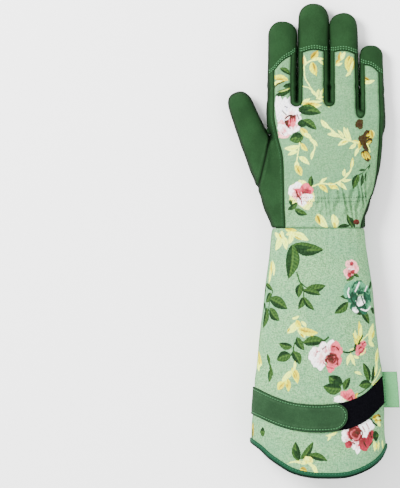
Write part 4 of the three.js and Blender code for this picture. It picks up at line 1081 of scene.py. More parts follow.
# Rows of motifs: kind, inks, then x and y in millimetres, sizes and turns, as each kind takes them.
# Later rows cover earlier ones.
HAND_PRINT = [
    ("leaf", "leaf", [(-36.4, 151.3, 12.3, -32, 4.7)]),
    ("leaf", "yellow", [(-28.8, 139.9, 14.9, 169, 5.2), (-29.8, 140.9, 12.7, 165, 3.3)]),
    ("leaf", "cream", [(-33.6, 138.5, 10.9, -162, 3.3)]),
    ("leaf", "gold", [(-32.6, 140.9, 8.5, -177, 2.8)]),
    ("leaf", "dark", [(-26, 136.1, 7.9, -163, 4.3), (-26.9, 130.9, 16.3, -159, 4.7)]),
    ("leaf", "light", [(-26, 133.3, 14.9, -162, 2.4)]),
    ("line", "brown", 1.3, [(-32.6, 138.5, -38.3, 136.1, -44, 131.9)]),
    ("leaf", "white", [(-40.2, 124.8, 33.2, -85, 8.5), (-31.7, 123.8, 21.1, -110, 6.6),
        (-32.6, 119.1, 15.8, -17, 7.6)]),
    ("petal", "white", "lilac", [(-27.9, 113.9, 9.5, 8, 60), (-26, 117.2, 8.5, 4.7, 80),
        (-37.3, 108.7, 15.1, 5.2, 95), (-24.1, 109.7, 6.6, 5.7, 20)]),
    ("petal", "blush", "pink", [(-34.6, 90.3, 8.5, 5.2, 200), (-38, 97, 3.4, 5.4, 170)]),
    ("petal", "white", "pink", [(-23.2, 101.2, 6.1, 7.1, -30), (-32.6, 91.8, 7.0, 4.0, 200),
        (-28.8, 93.6, 5.2, 4.7, 250), (-37.3, 93.6, 5.7, 4.3, 140), (-23.2, 94.5, 3.8, 4.7, 300)]),
    ("petal", "pink", "rose", [(-27.4, 100.7, 5.1, 5.3, -70)]),
    ("petal", "rose", "crimson", [(-27.4, 103, 5.3, 3.4, 20), (-31.2, 99.3, 2.8, 4.9, 15)]),
    ("petal", "crimson", "ruby", [(-27.4, 104.8, 5.2, 2.7, 12), (-32.3, 101.2, 2.4, 4.6, 10)]),
    ("line", "pink", 0.7, [(-26.9, 103, -27.6, 97.8), (-24.9, 103.5, -26, 98.8),
        (-29.3, 102.6, -29.8, 98.3)]),
    ("petal", "white", "blush", [(-26.5, 110.5, 4.5, 3.4, 80), (-33, 106.5, 4.6, 3.6, 110)]),
    ("line", "ruby", 1.4, [(-33.4, 103.6, -29, 106.4, -24.6, 105.8)]),
    ("line", "ruby", 1, [(-32.6, 100.2, -30.7, 95.5, -28.8, 94.1), (-21.3, 107.3, -19.4, 103),
        (-35.5, 110.6, -32.1, 106.8)]),
    ("line", "ruby", 0.8, [(-32.6, 114.8, -30.2, 114), (-38.3, 89.8, -36.4, 88.4),
        (-18.4, 111.6, -16.5, 109.7)]),
    ("leaf", "cream", [(-17.5, 117.7, 10.6, 27, 3.8), (-9, 119.6, 13.2, 2, 2.5),
        (2.4, 116.3, 11.5, -171, 2.5)]),
    ("leaf", "yellow", [(-15.6, 117.7, 17, -3, 5.2)]),
    ("leaf", "gold", [(-11.8, 117.5, 8.5, -2, 2.8)]),
    ("leaf", "leaf", [(-20.3, 111.6, 22.8, -7, 9.9)]),
    ("leaf", "dark", [(-20.3, 113.4, 14.2, 2, 4.3), (-21.3, 98.8, 10.5, -8, 7.1)]),
    ("leaf", "leaf", [(-15.6, 102.1, 16.5, -34, 7.1), (-15.1, 85.6, 14.8, -171, 9.9)]),
    ("leaf", "dark", [(-15.6, 87, 10.5, 172, 3.8)]),
    ("line", "dark", 1.3, [(-18, 80.8, -15.6, 78)]),
    ("leaf", "gold", [(-7.1, 159.8, 10.4, 51, 5.7)]),
    ("leaf", "yellow", [(-6.1, 156.9, 13.5, -72, 6.4)]),
    ("leaf", "gold", [(-5.2, 156, 7.8, -76, 3.4)]),
    ("leaf", "cream", [(-6.6, 158.4, 11, 10, 2.8), (0, 158.5, 6.2, -40, 2.5)]),
    ("leaf", "peach", [(-12.8, 154.1, 9, 94, 4)]),
    ("line", "cream", 1.3, [(4.3, 159.8, -6.1, 158.5, -11.8, 155.5, -14.7, 151.3)]),
    ("line", "cream", 0.9, [(-13.7, 153.2, -12.8, 142.8, -9, 135.2, -5.2, 129.5, -1.4, 123.8),
        (-15.6, 134.2, -9, 132.4, -4.3, 128.1), (0.5, 122, 6.1, 119.1, 9.9, 114.4)]),
    ("leaf", "cream", [(-7.1, 131.4, 9.4, -45, 2.6), (0.5, 131.4, 8.6, -99, 2.5),
        (4.7, 131.9, 9.1, -111, 2.1), (-2.4, 122, 7.8, 14, 2.3)]),
    ("leaf", "gold", [(20.3, 157.9, 9, 84, 3.4), (16.5, 155.5, 5.7, 42, 3.2)]),
    ("leaf", "cream", [(21.7, 158.8, 8.9, 65, 3.6), (16.1, 154.1, 6.9, 17, 2.3)]),
    ("leaf", "gold", [(29.8, 163.1, 12.9, -107, 4.2), (33.1, 160.7, 11.4, -95, 3.4)]),
    ("leaf", "yellow", [(31.7, 162.1, 17.6, -96, 4.3), (27.4, 160.7, 13.3, -86, 3.4)]),
    ("leaf", "cream", [(34, 158.8, 13.8, -106, 2.1), (30.3, 148.4, 7, -132, 2.3)]),
    ("leaf", "gold", [(44.9, 143.2, 7.2, -32, 3)]),
    ("leaf", "cream", [(44.7, 137.3, 10.9, 14, 3.2)]),
    ("line", "brown", 0.8, [(46.3, 141.8, 49.6, 139.9)]),
    ("leaf", "cream", [(2.2, 102.1, 12.5, -43, 4), (11.8, 93.1, 9.7, -43, 2.6),
        (21.3, 86.2, 13.9, 170, 3.6), (24.1, 85.1, 9.7, 129, 2.5), (30.7, 82.2, 15.2, 116, 4.2),
        (31.7, 82.2, 13.5, 108, 2.6), (28.8, 82.2, 11.4, -158, 4), (36.9, 80.1, 8.8, -144, 3.4),
        (40.2, 76.1, 9.7, -119, 3.2)]),
    ("leaf", "yellow", [(32.1, 81.8, 9.2, -12, 2.8), (28.4, 82.2, 8, -162, 1.9)]),
    ("line", "cream", 1.2, [(10.9, 94.1, 20.3, 86, 31.7, 82, 40.2, 79.9, 41.1, 75.6)]),
    ("petal", "brown", "ruby", [(40.7, 99.7, 4.3, 3, 20), (41.1, 96.4, 3.2, 3.4, 240),
        (38.3, 97.4, 2.5, 2.8, 180)]),
    ("leaf", "cream", [(53.9, 92.6, 7.5, -72, 3.8)]),
    ("leaf", "gold", [(52.5, 92.6, 8.3, -66, 5.1), (45.9, 84.1, 10.2, 22, 4.2),
        (43.5, 84.1, 10.6, -111, 4.3), (54.4, 81.3, 8.5, -161, 3.2)]),
    ("petal", "brown", "ruby", [(48.7, 88.4, 4.7, 3.8, 40), (44.4, 82.7, 5.2, 4.4, 120),
        (47.3, 78, 6.4, 3.8, 115), (52, 82.7, 3.2, 2.8, 0), (41.6, 84.6, 2.6, 2.8, 30)]),
    ("leaf", "gold", [(52.9, 92.2, 7.8, -76, 3.4), (47.7, 87, 6, 18, 2.3), (48.7, 79.4, 5.9, 29, 2.5)]),
    ("petal", "brown", "ruby", [(48.2, 68.3, 6.1, 4.3, 130), (45.9, 70, 3.8, 3.8, 200)]),
    ("leaf", "gold", [(43.5, 71.4, 7, -62, 2.6), (45.9, 72.3, 10.4, -47, 3.6),
        (45.9, 71.9, 8.5, -71, 2.1)]),
    ("line", "cream", 1, [(48.7, 79.9, 51.1, 75.6, 52.5, 71.9)]),
    ("leaf", "yellow", [(-18, 94.1, 11.7, -50, 5.3)]),
    ("leaf", "cream", [(-14.7, 89.3, 10.2, -34, 3.4), (-9, 84.1, 10.7, -41, 3.2),
        (-4.7, 73.3, 9.3, -105, 2.6)]),
    ("leaf", "yellow", [(-17.5, 79.9, 9.7, -47, 4.3)]),
    ("leaf", "cream", [(-19.4, 77.1, 15.7, -173, 4.9), (-20.8, 72.3, 11, -161, 3.6),
        (-19.4, 67.1, 12.7, -35, 4.5)]),
    ("line", "cream", 1.1, [(-18.9, 80.4, -20.3, 71.9, -22.2, 58.6), (-7.1, 84.1, -3.8, 76.6, -5.2, 70.9)]),
    ("leaf", "cream", [(-22, 63.3, 10.7, -76, 4.7)]),
    ("leaf", "yellow", [(-23.2, 59.1, 11.9, -56, 6.2)]),
    ("leaf", "gold", [(-21.7, 56.7, 7.2, -58, 2.8)]),
    ("petal", "cream", "blush", [(-20.3, 34, 8.7, 8.7, 150), (-12.8, 24.6, 7.6, 6.1, 300),
        (-10.9, 29.3, 7.1, 6.1, 0), (-16.5, 37.8, 7.6, 5.2, 90), (-22.2, 27.4, 7.1, 5.7, 215)]),
    ("petal", "white", "blush", [(-15.6, 27.4, 6.6, 5.2, 260), (-25.1, 35.5, 4.7, 5.7, 160),
        (-20.3, 38.8, 4.7, 4.3, 110)]),
    ("petal", "pink", "rose", [(-13.2, 37.3, 5.7, 4.3, 50), (-9, 35.5, 4, 4, 0),
        (-20.3, 33.1, 3.4, 4.7, 200)]),
    ("petal", "rose", "ruby", [(-10.9, 34.5, 4.2, 2.1, -12), (-13.9, 34.2, 2.1, 2.5, 90)]),
    ("petal", "white", "blush", [(-10.4, 29.3, 5.2, 2.6, 5)]),
    ("petal", "blush", "rose", [(-22.6, 31, 3.4, 3.6, 190)]),
    ("line", "crimson", 1.9, [(-21.7, 34.5, -20.3, 30.7, -17.5, 27.4)]),
    ("line", "rose", 1, [(-17.5, 27.4, -16.1, 22.2), (-16.5, 39.7, -14.7, 36.4),
        (-25.1, 36.9, -21.3, 35.5)]),
    ("line", "peach", 0.8, [(-13.7, 26.9, -9.5, 21.7), (-11.8, 24.6, -7.1, 23.2)]),
    ("leaf", "leaf", [(-7.1, 38.8, 10.7, 89, 4.7)]),
    ("leaf", "cream", [(0.9, 41.6, 9.1, 39, 2.6), (17.5, 43, 11.9, -34, 3.6), (21.7, 44.9, 10.4, 5, 2.5),
        (24.6, 48.7, 7.3, 85, 3), (26, 47.7, 7.7, 47, 2.3), (14.7, 40.2, 6.4, -42, 2.3)]),
    ("leaf", "yellow", [(0, 41, 11.3, -41, 4.3), (9, 42, 10.3, -24, 4.7), (31.5, 56.3, 10.1, 80, 3)]),
    ("line", "cream", 1.2, [(-5.7, 39.2, 2.4, 42, 12.8, 41.1, 20.3, 44, 27.9, 49.2, 32.1, 56.3, 33, 63.3)]),
    ("leaf", "leaf", [(40.2, 50.6, 14.8, -112, 7.2)]),
    ("leaf", "dark", [(40.2, 54.8, 7.1, 3, 2.1), (44.4, 51.1, 11.8, -93, 3.2), (48.9, 52.9, 9.9, -93, 2.1),
        (52.9, 60.5, 5.8, -104, 1.7)]),
    ("line", "dark", 0.8, [(52.9, 59.6, 47.7, 55.3, 45.4, 52.5, 40.2, 50.1)]),
    ("leaf", "dark", [(-28.4, 26.9, 6.3, -77, 3.4)]),
    ("leaf", "leaf", [(-20.3, 24.1, 12.5, -146, 4.7), (-23.6, 18, 13.8, -23, 5.7)]),
    ("leaf", "dark", [(-26, 20.8, 6.1, -141, 2.8)]),
    ("leaf", "cream", [(-1.4, 13.2, 16.4, -53, 7)]),
    ("leaf", "gold", [(-1.9, 12.3, 9.6, -70, 4.2)]),
    ("leaf", "cream", [(14, 12.8, 14.4, -80, 6.6)]),
    ("leaf", "yellow", [(14.2, 5.7, 7.3, -75, 3.2)]),
    ("leaf", "leaf", [(29.3, 12.8, 14.2, -64, 4.7)]),
    ("leaf", "dark", [(31.7, 10.4, 12.3, -58, 3.8), (18.9, 0.9, 13.3, 4, 3.6)]),
    ("petal", "crimson", "ruby", [(40.2, 5.7, 2.6, 3.8, 90)]),
]
CUFF_PRINT = [
    ("leaf", "yellow", [(-31.7, -0.5, 12, -9, 4.3)]),
    ("leaf", "cream", [(-35.5, -6.6, 16.1, -114, 6.1), (-33.6, -7.6, 13.2, -75, 5.3),
        (-40.7, -4.3, 9.1, -51, 4), (-35, -2.4, 10.5, -72, 4.2), (-25.5, -5.2, 10.3, -106, 4.7),
        (-30.7, -6.6, 7.9, 17, 2.8), (-25.5, -5.5, 17.2, -21, 6.1)]),
    ("leaf", "gold", [(-22.7, -8, 7.6, -21, 1.7), (-37.3, -4.7, 6.8, -56, 1.7)]),
    ("leaf", "leaf", [(-24.6, -16.5, 29.6, -8, 11.8), (-24.8, -15.6, 32.4, -97, 12.8)]),
    ("leaf", "dark", [(-23.2, -17, 17.1, -5, 4.3), (-25.5, -18.9, 21.3, -103, 4)]),
    ("line", "leaf", 1.1, [(-20.8, -41.6, -18.4, -49.6, -14.7, -57.2, -14.2, -65.7),
        (-18.4, -50.1, -13.7, -54.8, -9, -57.7)]),
    ("leaf", "leaf", [(-11.8, -57.4, 18.7, 10, 7.9), (-14.7, -58.6, 17.2, -15, 6.1),
        (-17.2, -52.5, 13.4, -98, 6.8), (-14.2, -64.8, 12.9, -114, 5.7), (-14.2, -65.2, 15.8, -51, 5.3),
        (-49.2, -52.9, 14, -28, 4.7), (-44.9, -61, 12.1, -129, 6.6), (-45.9, -66.7, 22, -26, 10.4),
        (-46.3, -75.6, 16.4, -46, 9), (-48.7, -74.7, 21.1, -106, 7.6)]),
    ("leaf", "dark", [(-50.1, -52.5, 12.8, -96, 3.2), (-52, -70, 8.5, -63, 3.8)]),
    ("line", "leaf", 1.1, [(-43, -60, -45.9, -68.1, -47.7, -79.4)]),
    ("leaf", "yellow", [(-44.4, -31.2, 19.5, -97, 4)]),
    ("leaf", "cream", [(-43.5, -30.7, 14.9, -79, 3.2), (-44.9, -39.7, 13.4, -98, 2.6)]),
    ("petal", "blush", "pink", [(27.9, -34, 3, 3.4, 180), (33.6, -35, 2.8, 3.8, 0),
        (26.5, -42.1, 3.2, 3.8, 200), (35, -38.8, 3.2, 3.8, -20)]),
    ("petal", "blush", "rose", [(30.7, -34, 4.2, 4, 90), (29.8, -39.7, 5.7, 4.2, 60),
        (28.8, -43.5, 4.7, 3.6, 240)]),
    ("petal", "rose", "crimson", [(31, -33.8, 2.2, 2, 90), (32, -41.2, 2.4, 2.2, 60),
        (28.8, -44, 2.4, 2, 240)]),
    ("line", "white", 0.6, [(27.9, -38.2, 30.7, -38.9, 33.5, -38.4)]),
    ("leaf", "leaf", [(33.6, -44.4, 10, -147, 3.2), (32.6, -43.5, 6.8, -25, 3)]),
    ("leaf", "dark", [(30.3, -66.2, 10.5, 171, 4.5), (49.6, -50.1, 9.7, -119, 3.8),
        (52.5, -80.8, 9.2, 145, 5.2)]),
    ("leaf", "leaf", [(27.9, -70, 17.1, -142, 7.2), (40.7, -78.5, 15.1, -53, 6.6)]),
    ("leaf", "dark", [(35, -80.8, 8.8, 16, 3.4), (43, -55.8, 13.1, -52, 7.6),
        (41.1, -79.4, 3.4, -146, 2.8)]),
    ("petal", "mint", "teal", [(30.3, -58.1, 6.6, 8, 150), (27.4, -60.5, 4.3, 6.1, 190),
        (32.6, -53.9, 4.3, 3.8, 110)]),
    ("petal", "teal", "deep_teal", [(32.6, -66.2, 5.2, 6.1, 250), (45.9, -65.2, 5.2, 7.6, 20),
        (37.8, -55.8, 6.6, 5.7, 80), (42.1, -75.6, 6.6, 4.7, 300), (34.5, -74.7, 4.3, 5.7, 250)]),
    ("petal", "white", "mint", [(39.7, -69, 4.2, 5.6, -60), (35, -77.1, 2.6, 3.6, 250)]),
    ("petal", "mint", "teal", [(46.3, -72.3, 3.2, 4.3, -30), (36.4, -55.8, 2.8, 5.2, 70)]),
    ("petal", "teal", "deep_teal", [(44.4, -64.8, 3.2, 5.7, 10), (39.2, -60, 2.8, 3.4, 80)]),
    ("petal", "mint", "deep_teal", [(40.2, -55.3, 4.3, 4.7, 70), (45.9, -58.6, 3.4, 4.7, 40)]),
    ("line", "white", 1, [(38.1, -51.5, 35.9, -56.7, 34.5, -59.6), (45.4, -54.8, 43.5, -59.6),
        (40.2, -76.6, 44.9, -78, 48.7, -74.2), (28.5, -56.7, 27.5, -61.5, 28.8, -65.2)]),
    ("line", "deep_teal", 1.3, [(33.6, -52, 31.7, -56.7), (40.2, -64.3, 42.5, -70.9, 44.4, -75.6),
        (36.4, -66.2, 35.5, -72.8, 38.3, -78.5), (32.1, -60.5, 30.7, -67.1, 33.6, -70.9)]),
    ("line", "deep_teal", 1, [(47.7, -53.9, 45.9, -59.6), (39.2, -58.6, 37.3, -63.3)]),
    ("leaf", "cream", [(-20.3, -88.9, 14.4, -134, 6.1), (-19.4, -92.6, 12.7, -61, 6.6),
        (-25.5, -85.7, 8.1, 21, 2.5), (-16.5, -87.9, 7.4, -50, 2.8)]),
    ("leaf", "yellow", [(-21.3, -87, 8.5, -56, 5.1), (-19.4, -95, 19.3, -12, 6.6)]),
    ("leaf", "gold", [(-17.5, -96, 7.9, -17, 1.9), (-17.5, -99.3, 5.3, -45, 1.9),
        (-27.4, -94.5, 4.5, -122, 1.9)]),
    ("line", "leaf", 1.3, [(-20.3, -104.5, -23.6, -111.1, -24.4, -116.8, -28.4, -122.4),
        (-16.5, -106.8, -11.8, -108.7)]),
    ("leaf", "leaf", [(-20.8, -103, 14.2, -60, 6.8), (-14.7, -108.2, 20.8, 4, 8.9),
        (-25.1, -112, 14.5, 168, 6.6), (-26.5, -119.6, 15.9, -162, 9.5), (-24.4, -116.3, 13.9, -60, 8.1)]),
    ("line", "leaf", 1.6, [(1.4, -106.8, 6.1, -105.4, 9, -102.9)]),
    ("leaf", "yellow", [(-58.1, -116.3, 15.6, -55, 6.1)]),
    ("leaf", "cream", [(-58.1, -122, 14.1, -70, 6.1), (-58.6, -128.6, 9.9, -3, 4.7)]),
    ("leaf", "gold", [(-56.3, -122.9, 7.9, -57, 2.3)]),
    ("leaf", "leaf", [(-48.7, -118.6, 12.3, -74, 3.4), (-46, -128.1, 12.2, -69, 3.2),
        (-46.1, -133.8, 11.6, -92, 5.3)]),
    ("leaf", "yellow", [(-25.1, -131.9, 15.4, -70, 6.2), (-30.7, -141.3, 13.4, -80, 5.3),
        (-32.6, -145.1, 10.4, -133, 6.6)]),
    ("leaf", "cream", [(-25.1, -134.7, 12.9, -144, 5.1), (-22.4, -125.7, 9.6, -100, 2.5),
        (-29.8, -139, 8, -135, 3.8)]),
    ("leaf", "gold", [(-24.1, -136.6, 6.6, -69, 1.9), (-30.3, -146.5, 4.8, -79, 1.9),
        (-34.5, -147, 5, -131, 1.9)]),
    ("line", "dark", 1.4, [(21.3, -116.3, 27.4, -117.5, 33.6, -114.9, 39.2, -107.8)]),
    ("line", "cream", 0.9, [(28.8, -115.3, 35.5, -112, 40.2, -106.4, 46.3, -100.2)]),
    ("leaf", "dark", [(33.1, -116.8, 19.5, 58, 4.2)]),
    ("petal", "white", "pink", [(-0.9, -121, 8.7, 8.7, 190), (-3.8, -116.8, 4.2, 4.7, 150),
        (-0.5, -126.2, 6.1, 4.2, 230), (5.2, -115.3, 6.6, 6.1, 120)]),
    ("petal", "white", "blush", [(9.9, -118.6, 7.6, 5.7, 100), (0.5, -121, 4.7, 4.7, 160)]),
    ("petal", "white", "pink", [(5.7, -113, 6.1, 4, 120), (11.8, -112, 6.6, 4, 85),
        (2.4, -128.6, 5.7, 3.2, 250)]),
    ("petal", "pink", "rose", [(15.1, -112, 5.7, 4.3, 60), (18.9, -115.8, 3.6, 4.2, -10),
        (11.3, -129.3, 7.1, 3.8, 265), (17, -126.2, 3.8, 5.7, -40), (16.1, -119.6, 4.3, 4.3, 30)]),
    ("swirl", "pink", "crimson", [(12.1, -123.3, 6.2, 40)]),
    ("petal", "crimson", "ruby", [(10.4, -122, 3.4, 2.6, 120)]),
    ("line", "crimson", 1.2, [(12.8, -111.6, 16.5, -112.3, 18.9, -115.3), (3.3, -113.9, 6.6, -111.8),
        (18, -122.9, 18, -129)]),
    ("line", "ruby", 1, [(7.1, -125.3, 8.5, -121.5, 11.8, -119.7, 14.7, -120.5),
        (12.8, -125.7, 15.1, -122.9)]),
    ("line", "rose", 0.9, [(-2.4, -117.2, 0.5, -116.3), (-3.3, -121, -2.4, -118.2),
        (4.3, -126.7, 8, -130.9, 13.7, -132.4)]),
    ("line", "blush", 0.8, [(2.4, -117.2, 0.9, -122.9, 2.4, -126.7)]),
    ("leaf", "yellow", [(37.3, -107.8, 10.2, 124, 4.2), (38.3, -105.4, 17.7, 91, 4.3),
        (36.4, -109.7, 5.7, 132, 2.8)]),
    ("leaf", "cream", [(39.2, -103, 11.5, 81, 2.5), (35.5, -104.9, 9.1, 99, 2.3),
        (29.8, -118.6, 11.2, -107, 3.2), (30.7, -119.1, 11.1, -70, 3.2), (32.6, -120.5, 6.5, -18, 2.5)]),
    ("petal", "pink", "rose", [(39.7, -114.9, 4.3, 5.7, 240), (42.1, -109.2, 3, 3.4, 60),
        (37.3, -117.7, 3.2, 2.8, 200)]),
    ("line", "crimson", 1, [(37.3, -114.4, 40.2, -112), (38.3, -118.6, 41.1, -115.8),
        (41.1, -109.2, 43.5, -107.8), (42.5, -113.9, 43, -117.2)]),
    ("line", "cream", 1, [(39.2, -119.6, 42.1, -118.2, 44, -113.9)]),
    ("leaf", "cream", [(48.2, -107.8, 19, 71, 6.6), (46.8, -106.4, 9.6, -33, 4.2),
        (56.3, -113, 19.1, -110, 6.1), (52.5, -139.9, 16.6, 75, 3.4)]),
    ("leaf", "yellow", [(49.6, -104, 9.2, 55, 3.4), (54.4, -117.2, 10, -109, 3)]),
    ("leaf", "cream", [(33.6, -135.7, 8.5, -19, 2.5)]),
    ("leaf", "leaf", [(47.3, -144.6, 18.7, 111, 7.2), (49.2, -147.5, 14.2, -175, 7.9)]),
    ("leaf", "dark", [(49.6, -145.1, 15.9, 78, 4.3)]),
    ("line", "cream", 1.2, [(50.1, -147, 55.3, -139, 58.1, -132.4), (51.1, -148, 56.3, -143.2)]),
    ("line", "leaf", 1, [(49.6, -146.5, 42.5, -153.2, 36.4, -156.9)]),
    ("leaf", "leaf", [(21.7, -148, 15.3, 146, 11.3), (21.3, -151.7, 17.6, 172, 10.4),
        (23.6, -152.7, 13.3, 63, 6.2)]),
    ("leaf", "dark", [(21.3, -147, 9.7, 166, 3.8)]),
    ("petal", "white", "cream", [(21.3, -160.7, 7.6, 3.4, 190)]),
    ("petal", "pink", "rose", [(28.4, -157.4, 5.7, 4.3, 60), (23.6, -156.9, 3.8, 3.2, 130),
        (32.6, -160.2, 3.8, 3.8, 0)]),
    ("line", "crimson", 1.2, [(27.9, -161.2, 30.7, -158.8, 31.7, -162.1)]),
    ("leaf", "gold", [(34.5, -160.2, 5.5, 70, 2.5)]),
    ("leaf", "leaf", [(-50.8, -192.9, 7.4, 176, 8.1)]),
    ("leaf", "gold", [(-61, -183.4, 13.2, -90, 4.3)]),
    ("leaf", "brown", [(-62.4, -189.1, 11.4, -88, 2.8)]),
    ("leaf", "cream", [(17, -192.4, 11.4, -163, 2.5), (10.9, -193.8, 7.2, -113, 2.1)]),
    ("petal", "white", "pink", [(25.5, -194.8, 4.3, 7.1, 170), (34.5, -203.7, 5.7, 4.3, 270),
        (36.4, -207.5, 5.2, 2.8, 270)]),
    ("petal", "white", "white", [(44.4, -189.1, 6.6, 9.5, 60), (42.1, -196.6, 4.3, 6.6, -60),
        (48.7, -185.3, 3.8, 5.7, 50)]),
    ("petal", "rose", "crimson", [(48.7, -197.1, 3.4, 7.6, -20), (27.9, -203.7, 3.8, 3.6, 210),
        (42.5, -203.7, 6.6, 5.7, -70)]),
    ("swirl", "pink", "crimson", [(33.8, -193.6, 7.4, 160)]),
    ("petal", "crimson", "ruby", [(36.9, -191.9, 3, 3.2, 60)]),
    ("line", "crimson", 1.3, [(28.8, -189.6, 28.4, -194.8, 31.2, -200),
        (34.5, -188.1, 40.2, -191, 40.7, -197.6)]),
    ("line", "rose", 1, [(44.9, -184.4, 47.3, -191, 44.9, -198.5), (41.1, -187.2, 43.5, -191.9),
        (38.3, -200.4, 37.3, -205.2), (26, -206.6, 30.7, -205.6)]),
    ("line", "ruby", 1.2, [(42.1, -201.4, 44.4, -206.1), (48.7, -192.4, 49.6, -197.6),
        (31.7, -202.3, 33.6, -203.3), (47.7, -205.2, 50.6, -201.4)]),
    ("leaf", "gold", [(50.6, -179.6, 9.1, 21, 4.7), (52.5, -182, 9.5, -3, 4.7)]),
    ("leaf", "cream", [(55.3, -182.5, 7.9, -33, 3.8), (53.9, -179.2, 7.1, -4, 2.5)]),
    ("leaf", "brown", [(55.3, -175.4, 7.2, -23, 2.5), (57.2, -180.6, 5.4, -15, 1.9)]),
    ("line", "dark", 1.7, [(49.2, -180.1, 51.5, -183.9, 54.8, -186.2)]),
    ("leaf", "dark", [(50.6, -196.2, 9.6, 9, 9.1)]),
    ("leaf", "leaf", [(53.4, -197.1, 6, 18, 4.3)]),
    ("leaf", "cream", [(52, -200.9, 10, -85, 4.2), (56.3, -200.4, 9.5, -96, 2.8),
        (60, -200, 8.6, -84, 3.2)]),
    ("leaf", "yellow", [(54.4, -202.3, 6.6, -94, 2.1)]),
    ("leaf", "leaf", [(-19.4, -219.3, 18.2, 99, 8.1), (-17.2, -217.7, 20.4, 54, 5.9),
        (-9.9, -213.7, 18.8, -17, 6.6)]),
    ("leaf", "dark", [(-19.9, -217.4, 10.6, 117, 3.4)]),
    ("petal", "cream", "yellow", [(-9.9, -218.4, 4.5, 3.2, 160), (-13.2, -220.3, 2.6, 2.3, 200)]),
    ("leaf", "cream", [(-7.1, -222.2, 12.1, -64, 3.8), (-9.9, -220.8, 7, -48, 2.5),
        (-14.7, -219.7, 19.1, -171, 1.2), (-12.8, -223.1, 14.5, 169, 1.1), (1.4, -230.7, 9.6, -9, 1.4)]),
    ("leaf", "gold", [(-18, -226.4, 7.6, -22, 4.7)]),
]
SIDE_PRINT = [
    ("sprig", "leaf", [(66, -40, 44, 268, 6, 13, 20)]),
    ("sprig", "cream", [(-72, -60, 40, 272, 5, 12, 30)]),
    ("leaf", "leaf", [(74, -126, 15, 285, 7), (-76, -176, 15, 262, 7), (72, -98, 14, 80, 6),
        (-70, -148, 14, 60, 6)]),
    ("rose", "white", "blush", "pink", "crimson", [(75, -112, 12, 40), (-78, -160, 13, 70)]),
]
CUFF_PALM_PRINT = [
    ("blossom", "white", "cream", "gold", [(22, -12, 8, 10)]),
    ("leaf", "yellow", [(30, -14, 9, 250, 4), (-6, -50, 18, 240, 7), (20, -216, 15, 20, 6),
        (2, -220, 15, 200, 6)]),
    ("leaf", "cream", [(-44, -152, 18, 260, 7), (-50, -170, 16, 285, 6), (-16, -216, 14, 340, 5)]),
    ("sprig", "cream", [(26, -24, 44, 205, 6, 12, -40), (-42, -70, 44, 258, 6, 11, 20),
        (-50, -96, 40, 262, 5, 12, 20), (54, -178, 46, 332, 6, 12, -40)]),
    ("leaf", "leaf", [(22, -60, 16, 320, 7), (20, -76, 15, 210, 7), (-26, -66, 17, 160, 8),
        (-40, -60, 14, 80, 6), (-34, -112, 18, 170, 8), (12, -140, 17, 300, 8), (-6, -146, 16, 250, 7),
        (56, -172, 14, 262, 6)]),
    ("leaf", "dark", [(54, -64, 15, 140, 7), (-30, -76, 18, 200, 8), (-36, -124, 17, 215, 8)]),
    ("leaf", "teal", [(-30, -30, 13, 215, 6)]),
    ("sprig", "leaf", [(20, -172, 26, 200, 4, 13, 30), (36, -182, 28, 260, 5, 11, 20),
        (-6, -190, 20, 240, 4, 12, 30), (-22, -160, 26, 205, 5, 12, 30), (62, -90, 40, 268, 5, 12, 20),
        (-66, -130, 40, 272, 5, 12, 20)]),
    ("blossom", "gold", "brown", "yellow", [(34, -116, 11, 30, 6), (-31, -196, 11, 20, 6),
        (57, -160, 9, 10)]),
    ("blossom", "brown", "ruby", "gold", [(22, -108, 9, 0), (-24, -190, 8, 0)]),
    ("rose", "white", "mint", "teal", "deep_teal", [(-38, -24, 10, 180)]),
    ("rose", "cream", "yellow", "gold", "brown", [(4, -165, 11, 60)]),
    ("rose", "white", "blush", "pink", "crimson", [(37, -78, 19, 15), (-8, -87, 16, 40), (-10, -126, 24, 5),
        (70, -180, 12, 40)]),
]


def paint(places, rows, place_of):
    """Paints the rows of motifs on cloth, after moving each from plan to the cloth's flat places."""
    ink = Print(places, place_of)
    for kind, *settings, items in rows:
        for item in items:
            getattr(ink, kind)(*settings, *item)
    return ink


def cloth_data(ink, seam, roll, cloth, inner_seam, inner_cloth):
    """A printed piece's attributes: the outer vertices carry ink, and the inner ones are bare."""
    outer, inner = np.ones((len(cloth), 1)), np.ones((len(inner_cloth), 1))
    return {
        # seam places painted shade in the seam grooves; roll places painted shade where the outer cloth
        # turns from facing up, and the inner side gets none
        "seam": np.concatenate([seam, inner_seam]),
        "roll": np.concatenate([roll, 0 * inner[:, 0]]),
        "cloth": np.vstack([cloth, inner_cloth]),
        "print_edge": np.concatenate([ink.edge, BARE * inner[:, 0]]),
        "print_colour": np.vstack([np.hstack([ink.colour, outer]), np.hstack([inner * SAGE, inner])]),
    }


